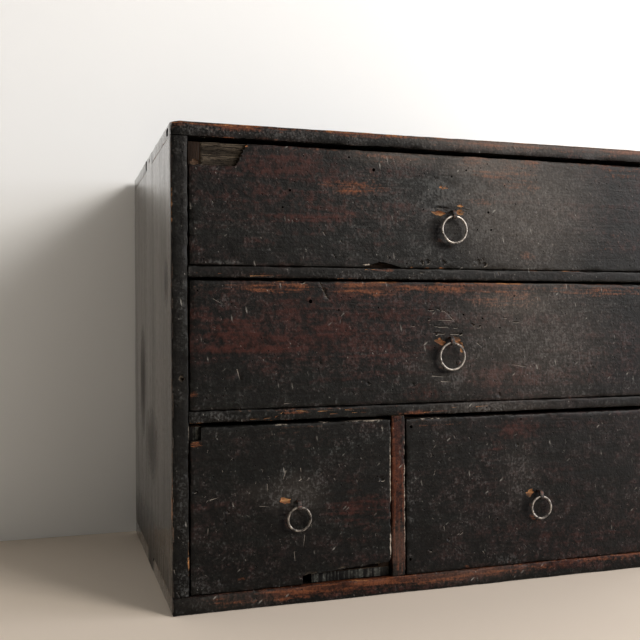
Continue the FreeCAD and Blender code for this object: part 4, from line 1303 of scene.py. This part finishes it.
def partitionBoard():
    low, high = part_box("partition")
    railLow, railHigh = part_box("lower_rail")
    low.z, high.z = bottomTop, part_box("lower_dust_board")[0].z
    planes = boundsOf(low, high, "X") + [(1, low.y)]
    piece = rubbedBoard("partitionBoard", low, high, planes, "partition", *partition)
    carve(piece, [addBlock("room", (low.x - past, low.y - past, railLow.z),
                           (high.x + past, railHigh.y, high.z + past))], "woodZ")
    sortFaces(piece, lambda face: face.center.y > low.y + caseBoards["darkened"], "woodZ")
    paintAll(piece, caseMarks["partition"])
    finishPiece(piece, "partition", planes)


partitionBoard()
print("rails and partition made")


# Unfinished boards: drawer sides, backs and bottoms, and the case's back.
plainBoards = {
    "grid": 6 * mm,
    "backGrid": 5 * mm,
    "arris": 0.5 * mm,
    "wear": (0.5 * mm, 0.3 * mm, 0.2 * mm),             # nicks, waste, hollows
    "dirtyEnd": 5 * mm,                                 # how far the boards darken in from the front's lap
    "dirtyArris": (5, 0.45),                            # mm, strength
    "splinter": (194.5, 162, 4.4, 3, 0.8, 10, 95, 0.5),    # where the top drawer's side shows, as a gouge
    "tornOut": (-2 * mm, 9.5 * mm, 30 * mm),            # from the low break: left, right, how far back
}


def plainBoard(node, grain, spacing=plainBoards["grid"]):
    low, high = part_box(node)
    planes = boundsOf(low, high)
    piece = addBlock(titled(node), low, high)
    dress(piece, "backWood" if node.startswith("back_board") else "wood" + grain)
    divide(piece, spacing)
    roundOff(piece, plainBoards["arris"], isSharp, 2)
    weather(piece, planes, *plainBoards["wear"])
    if grain == "Y":
        # The lower left drawer's end in the notch takes lacquer lightened as painted light; other ends take
        # end grain.
        end = "strip" if node == "lower_left_drawer_left_side" else "endGrain"
        sortFaces(piece, lambda face: abs(face.normal.y) > 0.5, end)
    elif node.endswith("drawer_bottom"):
        # The bottoms' fronts: near-black painted shade on the top drawer, and lacquer lightened as painted
        # light on the others.
        sortFaces(piece, lambda face: face.normal.y < -0.5, "hole" if node.startswith("top") else "strip")
    if node == "lower_left_drawer_bottom":
        before, after, deep = plainBoards["tornOut"]
        start = low.x + lowBreak["startShare"] * (high.x - low.x)
        # The torn-out place is lined with near-black painted shade.
        carve(piece, [addBlock("room", (start + before, low.y - past, low.z - past),
                               (start + after, low.y + deep, high.z + past))], "hole")
    rear = frontY + fronts["lap"]
    if node == "top_drawer_left_side":
        carve(piece, [gouge(*plainBoards["splinter"], depth=rear)], "rubbed")
    points = coordinates(piece)
    reach, strength = plainBoards["dirtyArris"]
    ends = np.clip(1 - (points[:, 1] - rear) / plainBoards["dirtyEnd"], 0, 1)
    store(piece, "grime", np.maximum(ends, np.clip(1 - rimOf(points, planes) / reach, 0, 1) * strength))
    finishPiece(piece, node, planes)


for drawer in marks:
    for end, grain in (("_left_side", "Y"), ("_right_side", "Y"), ("_back", "X"), ("_bottom", "X")):
        plainBoard(drawer + end, grain)
for tier in ("lower", "middle", "upper"):
    plainBoard("back_board_" + tier, "X", plainBoards["backGrid"])
print("unfinished boards made")


# Rings and pins of forged iron.
ringShape = {
    "around": 120,
    "across": 16,
    "flats": {"top_drawer": (222, 15), "middle_drawer": (62, 12), "lower_left_drawer": (130, 10),
              "lower_right_drawer": (200, 12)},      # angle of a flat, and half its length, in degrees
    "lap": (0.78, 2.2),     # thickness of the wire where its ends meet, and half the length of that
    "hammered": 0.14 * mm,
}


def hammer(piece, depth):
    press(piece, "hammer", depth, np.ones(len(piece.data.vertices)))


def drawerRing(drawer):
    node = drawer + "_ring"
    low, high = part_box(node)
    middle = (low + high) / 2
    wire = (high.y - low.y) / 2
    radius = (high.x - low.x) / 2 - wire
    clearPicks()
    bpy.ops.mesh.primitive_torus_add(major_segments=ringShape["around"], minor_segments=ringShape["across"],
                                     major_radius=radius, minor_radius=wire, location=middle,
                                     rotation=(math.radians(90), 0, 0))
    piece = bpy.context.object
    piece.name = titled(node)
    settle(piece)
    flat, half = ringShape["flats"][drawer]
    thickness, reach = ringShape["lap"]
    for vertex in piece.data.vertices:
        away = vertex.co - middle
        angle = math.degrees(math.atan2(away.z, away.x)) % 360
        core = Vector((math.cos(math.radians(angle)), 0, math.sin(math.radians(angle)))) * radius
        section = away - core
        offset = (angle - flat + 180) % 360 - 180
        if abs(offset) < half:
            core *= math.cos(math.radians(half)) / math.cos(math.radians(offset))
        thin = thickness if abs(offset - half * 0.7) < reach else 1
        vertex.co = middle + core + section * thin
    dress(piece, "dullRing" if drawer == "lower_left_drawer" else "ring")
    hammer(piece, ringShape["hammered"])
    finishPiece(piece, node, degrees=60)


pins = {"merge": 0.002 * mm, "flat": math.radians(4), "arris": 0.16 * mm}


def drawerPin(drawer):
    # A copy of the node's own mesh, merged, with softer arrises.
    node = drawer + "_pull_pin"
    piece = bpy.data.objects.new(titled(node), frame["nodes"][node].data.copy())
    bpy.context.scene.collection.objects.link(piece)
    dress(piece, "pin")
    edit(piece)
    bpy.ops.mesh.remove_doubles(threshold=pins["merge"])
    bpy.ops.mesh.dissolve_limited(angle_limit=pins["flat"])
    leaveEdit()
    roundOff(piece, pins["arris"], isSharp, 2)
    finishPiece(piece, node, degrees=50)


for drawer in marks:
    drawerRing(drawer)
    drawerPin(drawer)


# A worn tack head that the middle ring knocks against.
tack = {"at": (458.6, 362.4), "radius": 2.3 * mm, "proud": 0.9 * mm, "hammered": 0.15 * mm}


def knockTack():
    clearPicks()
    bpy.ops.mesh.primitive_uv_sphere_add(segments=28, ring_count=16, radius=tack["radius"],
                                         location=seenAt(*tack["at"]))
    piece = bpy.context.object
    piece.name = "middleDrawerTack"
    bpy.ops.transform.resize(value=(1, tack["proud"] / tack["radius"], 1))
    settle(piece)
    dress(piece, "pin")
    hammer(piece, tack["hammered"])
    smooth(piece, 60)
    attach(piece, "middle_drawer")


knockTack()
print("rings, pins and tack made")

# What stays as it came from the frame gets its finish.
for node, piece in frame["nodes"].items():
    if not piece.hide_render:
        dress(piece, "nail" if node.endswith("_nails") else "woodX")


# The chest stands on a pale floor against a pale wall, and light falls in from the right as through a window.
# From behind, the wall isn't seen, nor is the floor from below.
studio = {
    "size": 5.0,
    "floor": ("#d4c8b9", "#dfd4c7"),
    "wall": ("#f0f4f6", "#f4f7f8"),
    "gap": 8 * mm,
    "inset": 4 * mm,        # of the openings behind and under the chest
    "room": "#f2eae0",
    "roomLevel": 0.25,
    "windowLevel": 0.9,
    "lamps": {
        "key": ((1.3, -1.88, 1.29), 0.8, 42, "#fff8f0"),
        "window": ((2.7, -1.3, 0.9), 1.6, 55, "#f6f6ff"),
    },
}


def addLamp(name, place, size, power, colour):
    data = bpy.data.lights.new(name, "AREA")
    data.size = size
    data.energy = power
    data.color = tone(colour)[:3]
    lamp = bpy.data.objects.new(name, data)
    bpy.context.scene.collection.objects.link(lamp)
    aim = Vector((0, -0.1, 0.2)) - Vector(place)
    lamp.matrix_world = Matrix.Translation(place) @ aim.to_track_quat("-Z", "Y").to_matrix().to_4x4()


def sheet(name, place, turn):
    # A flat sheet of floor or wall with a faintly uneven colour.
    clearPicks()
    bpy.ops.mesh.primitive_plane_add(size=studio["size"], location=place, rotation=turn)
    piece = bpy.context.object
    piece.name = name
    settle(piece)
    f = Finish(name + "Paint")
    colour = f.blend(f.blotch(f.here, 1.2, 2, 0.5), *(tone(shade) for shade in studio[name]))
    shown = 1 - f.add("ShaderNodeNewGeometry", out="Backfacing")
    piece.data.materials.append(f.close(colour, 0.9, f.blotch(f.here, 20 * mm), 0.1 * mm, Alpha=shown))
    return piece


def openTowardsChest(piece, spans):
    # Cuts out what only the chest hides, so that the room's light reaches its back and its underside.
    shape = bmesh.new()
    shape.from_mesh(piece.data)
    for axis, *places in spans:
        across = Vector([1 if side == axis else 0 for side in range(3)])
        for place in places:
            bmesh.ops.bisect_plane(shape, geom=shape.verts[:] + shape.edges[:] + shape.faces[:],
                                   plane_co=across * place, plane_no=across)
    inner = []
    for face in shape.faces:
        middle = face.calc_center_median()
        if all(low < middle[axis] < high for axis, low, high in spans):
            inner.append(face)
    bmesh.ops.delete(shape, geom=inner, context="FACES")
    shape.to_mesh(piece.data)
    shape.free()


def setStudio():
    inset = studio["inset"]
    wide = (0, caseLow.x + inset, caseHigh.x - inset)
    floor = sheet("floor", (0, 0, 0), (0, 0, 0))
    openTowardsChest(floor, [wide, (1, caseLow.y + inset, caseHigh.y - inset)])
    middle = (0, caseHigh.y + studio["gap"], studio["size"] / 2)
    wall = sheet("wall", middle, (math.radians(90), 0, 0))
    openTowardsChest(wall, [wide, (2, -inset, caseHigh.z - inset)])
    for name, lamp in studio["lamps"].items():
        addLamp(name, *lamp)
    world = bpy.data.worlds.new("studio")
    bpy.context.scene.world = world
    world.use_nodes = True
    f = Finish("studioSky", world.node_tree)
    side, _, rise = f.parts(f.add("ShaderNodeTexCoord", out="Generated"))
    window, room = studio["windowLevel"], studio["roomLevel"]
    glow = f.ease(side, 0.05, 0.75) * f.ease(rise, -0.35, 0.25) * (window - room)
    sky = f.add("ShaderNodeBackground", None, {"Color": tone(studio["room"]), "Strength": glow + room})
    f.add("ShaderNodeOutputWorld", None, {"Surface": sky}, None)


setCamera()
setStudio()
bpy.context.scene.view_settings.view_transform = "Standard"
print("studio set")
